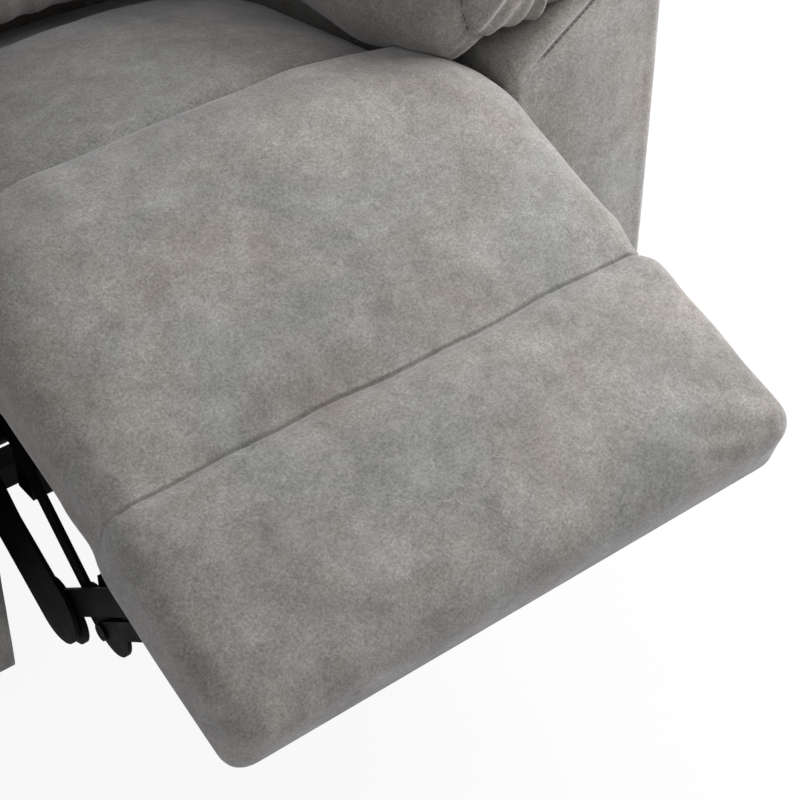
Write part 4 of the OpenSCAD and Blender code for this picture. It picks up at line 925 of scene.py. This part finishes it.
def gatherEnds(co, nrm, angle):
    # seams round both ends, with the end panels gathered into them
    c = armPad
    length = c["rear"] - c["front"]
    y = co[:, 1] - c["front"]
    for d, size, seed in ((y - c["seamAt"], 1, 0.0), (length - c["rearSeamAt"] - y, c["rearGather"], 2.0)):
        d = d - c["seamWave"] * np.sin(angle * 3 + seed)
        inEnd = smoothStep(-d / 0.003)
        folds = (np.sin(angle * 15 + 2.6 * np.sin(angle * 3 + seed) + seed)
                 * (0.6 + 0.4 * np.sin(angle * 4 + 1 + seed)))
        rim = smoothStep((np.hypot(co[:, 0] - c["midX"], co[:, 2] - c["midZ"]) - 0.02) / 0.04)
        gather = size * c["gather"] * folds * inEnd * rim
        beyond = (c["beyond"] * np.sin(angle * 29 + 3 * np.sin(angle * 7 + seed)) * (1 - inEnd)
                  * hump(d, 0.020))
        (deep, narrow), (shallow, broad) = c["grooves"]
        groove = deep * hump(d, narrow) + shallow * hump(d, broad)
        co = co + nrm * (gather + beyond - groove)[:, None]
    return co


def drapePad(co):
    # the inner side sinks on to the seat and spreads
    c = armPad
    inward = smoothStep((0.012 - co[:, 0]) / 0.055)
    lower = 0.30 + 0.70 * smoothStep((c["midZ"] + 0.02 - co[:, 2]) / 0.06)
    behind = smoothStep((co[:, 1] - 0.095) / 0.06)
    front, rear = c["drape"]
    hang = (front * (1 - behind) + rear * behind) * smoothStep((0.350 - co[:, 1]) / 0.05)
    co[:, 0] -= (c["spread"] * inward * smoothStep((c["midZ"] - co[:, 2]) / 0.05)
                 * smoothStep((0.330 - co[:, 1]) / 0.05))
    co[:, 2] -= hang * inward * lower
    return co


def makeArmPad(side, label, under):
    c = armPad
    length = c["rear"] - c["front"]
    rings = padRings()
    p = np.vstack(rings)
    faces = sweepFaces(len(rings), c["turns"], False)
    y = p[:, 1] - c["front"]
    held = np.clip(smoothStep((c["midZ"] - 0.03 - p[:, 2]) / 0.03) + hump(y - c["seamAt"], 0.003)
                   + hump(length - y - c["rearSeamAt"], 0.003), 0, 1)
    radius = np.hypot(p[:, 0] - c["midX"], p[:, 2] - c["midZ"])
    held = np.maximum(held, hump(radius, 0.02) * (np.minimum(y, length - y) < 0.01))
    co, nrm, quads = swell(p, faces, held, c["reach"])
    y = co[:, 1] - c["front"]
    angle = np.arctan2(co[:, 2] - c["midZ"], co[:, 0] - c["midX"])
    co = gatherEnds(co, nrm, angle)
    co = co + nrm * waves(co, [(size, scale, seed + side) for size, scale, seed in c["waves"]])[:, None]
    co = drapePad(co)
    place = np.stack([side * (armInnerX + co[:, 0]), frontY + co[:, 1], co[:, 2]], 1)
    # it rests on what lies under it
    for q in np.nonzero(place[:, 2] < c["midZ"])[0]:
        for tree in under:
            spot = tree.ray_cast(Vector((place[q, 0], place[q, 1], 0.62)), Vector((0, 0, -1)))[0]
            if spot is not None and place[q, 2] < spot.z + c["rest"]:
                place[q, 2] = spot.z + c["rest"]
    obj = meshObject("armPad_" + label, place, [f[::-1] for f in quads] if side > 0 else quads)
    finishPad(obj, "base", ["arm_pad_" + label])
    # thread in both end seams, through the points that lie nearest to them
    for name, d, seed in (("armPadSeam_", y - c["seamAt"], 0),
                          ("armPadRearSeam_", length - c["rearSeamAt"] - y, 2)):
        d = d - c["seamWave"] * np.sin(angle * 3 + seed)
        path = []
        for a in np.linspace(-math.pi, math.pi, 73):
            turn = np.abs((angle - a + math.pi) % (2 * math.pi) - math.pi)
            path.append(place[np.argmin(np.abs(d) / 0.002 + turn / 0.05)])
        stitchRow(name + label, path, obj, "base")


legCover = makeLegPad()
print("leg pad made")
cushion = makeSeatCushion()
print("seat cushion made")
for seed, padName in enumerate(backPads):
    makeBackPad(padName, 1.5 + seed)
makeBackCover()
print("back made")
for side, label in ((1, "left"), (-1, "right")):
    armCover = makeArmCover(side, label)
    makeArmPad(side, label, [surfaceTree(piece) for piece in (legCover, cushion, armCover)])
print("arms made")

# Floor, light and camera

studio = {"floorColour": (0.90, 0.90, 0.90), "floorRoughness": 0.9, "floorWhite": 0.92, "floorSize": 30,
          "skyColour": (0.95, 0.96, 1.0), "skyStrength": 0.40}


def seenDirectly(nt):
    # 1 where the camera, a reflection or a clear surface looks at the shader
    rays = nt.nodes.new("ShaderNodeLightPath")
    seen = rays.outputs["Is Camera Ray"]
    for ray in ("Is Glossy Ray", "Is Transmission Ray"):
        node = nt.nodes.new("ShaderNodeMath")
        node.operation = "MAXIMUM"
        nt.links.new(seen, node.inputs[0])
        nt.links.new(rays.outputs[ray], node.inputs[1])
        seen = node.outputs[0]
    return seen


def mixShaders(nt, factor, a, b, surface):
    node = nt.nodes.new("ShaderNodeMixShader")
    for output, socket in ((factor, node.inputs[0]), (a, node.inputs[1]), (b, node.inputs[2]),
                           (node.outputs[0], surface)):
        nt.links.new(output, socket)


floorMat, floorTree, floorShader = newMaterial("paleFloor")
floorShader.inputs["Base Color"].default_value = (*studio["floorColour"], 1)
floorShader.inputs["Roughness"].default_value = studio["floorRoughness"]
share = floorTree.nodes.new("ShaderNodeMath")
share.operation = "MULTIPLY"
share.inputs[1].default_value = studio["floorWhite"]
floorTree.links.new(seenDirectly(floorTree), share.inputs[0])
white = floorTree.nodes.new("ShaderNodeEmission")
mixShaders(floorTree, share.outputs[0], floorShader.outputs[0], white.outputs[0],
           floorTree.nodes["Material Output"].inputs["Surface"])
bpy.ops.mesh.primitive_plane_add(size=studio["floorSize"], location=(0, 0, -0.001))
floor = bpy.context.object
floor.name = "floor"
floor.data.materials.append(floorMat)

world = bpy.data.worlds.new("studio")
world.use_nodes = True
bpy.context.scene.world = world
worldTree = world.node_tree
sky = worldTree.nodes["Background"]
sky.inputs["Color"].default_value = (*studio["skyColour"], 1)
sky.inputs["Strength"].default_value = studio["skyStrength"]
backdrop = worldTree.nodes.new("ShaderNodeBackground")
backdrop.inputs["Color"].default_value = (1, 1, 1, 1)
mixShaders(worldTree, seenDirectly(worldTree), sky.outputs[0], backdrop.outputs[0],
           worldTree.nodes["World Output"].inputs["Surface"])

lampSettings = {
    "key": {"at": (1.32, -0.55, 1.16), "to": (0, -0.25, 0.4), "size": 0.9, "power": 28},
    "fill": {"at": (-2.2, -2.2, 2.6), "to": (0, -0.2, 0.4), "size": 2.6, "power": 10},
    "rear": {"at": (1.2, 2.4, 2.8), "to": (0, 0, 0.5), "size": 2.0, "power": 40},
}
for name, c in lampSettings.items():
    data = bpy.data.lights.new(name, "AREA")
    data.size = c["size"]
    data.energy = c["power"]
    lamp = bpy.data.objects.new(name, data)
    lamp.location = c["at"]
    lamp.rotation_euler = (Vector(c["to"]) - Vector(c["at"])).to_track_quat("-Z", "Y").to_euler()
    bpy.context.scene.collection.objects.link(lamp)

# the camera stands ahead of the arms' front plane, at the photograph's angle
cameraSettings = {"at": (-0.7933, -1.2099, 1.4518), "azimuth": -38.0, "elevation": 40.5, "lens": 94.11}
camData = bpy.data.cameras.new("camera")
camData.lens = cameraSettings["lens"]
camData.sensor_width = 36
camData.clip_start = 0.05
cam = bpy.data.objects.new("camera", camData)
bpy.context.scene.collection.objects.link(cam)
az, el = math.radians(cameraSettings["azimuth"]), math.radians(cameraSettings["elevation"])
towards = Vector((-math.sin(az) * math.cos(el), math.cos(az) * math.cos(el), -math.sin(el)))
cam.location = Vector(cameraSettings["at"]) + Vector((0, frontY, 0))
cam.rotation_euler = towards.to_track_quat("-Z", "Y").to_euler()
bpy.context.scene.camera = cam
bpy.context.scene.view_settings.view_transform = "Standard"
print("scene set")
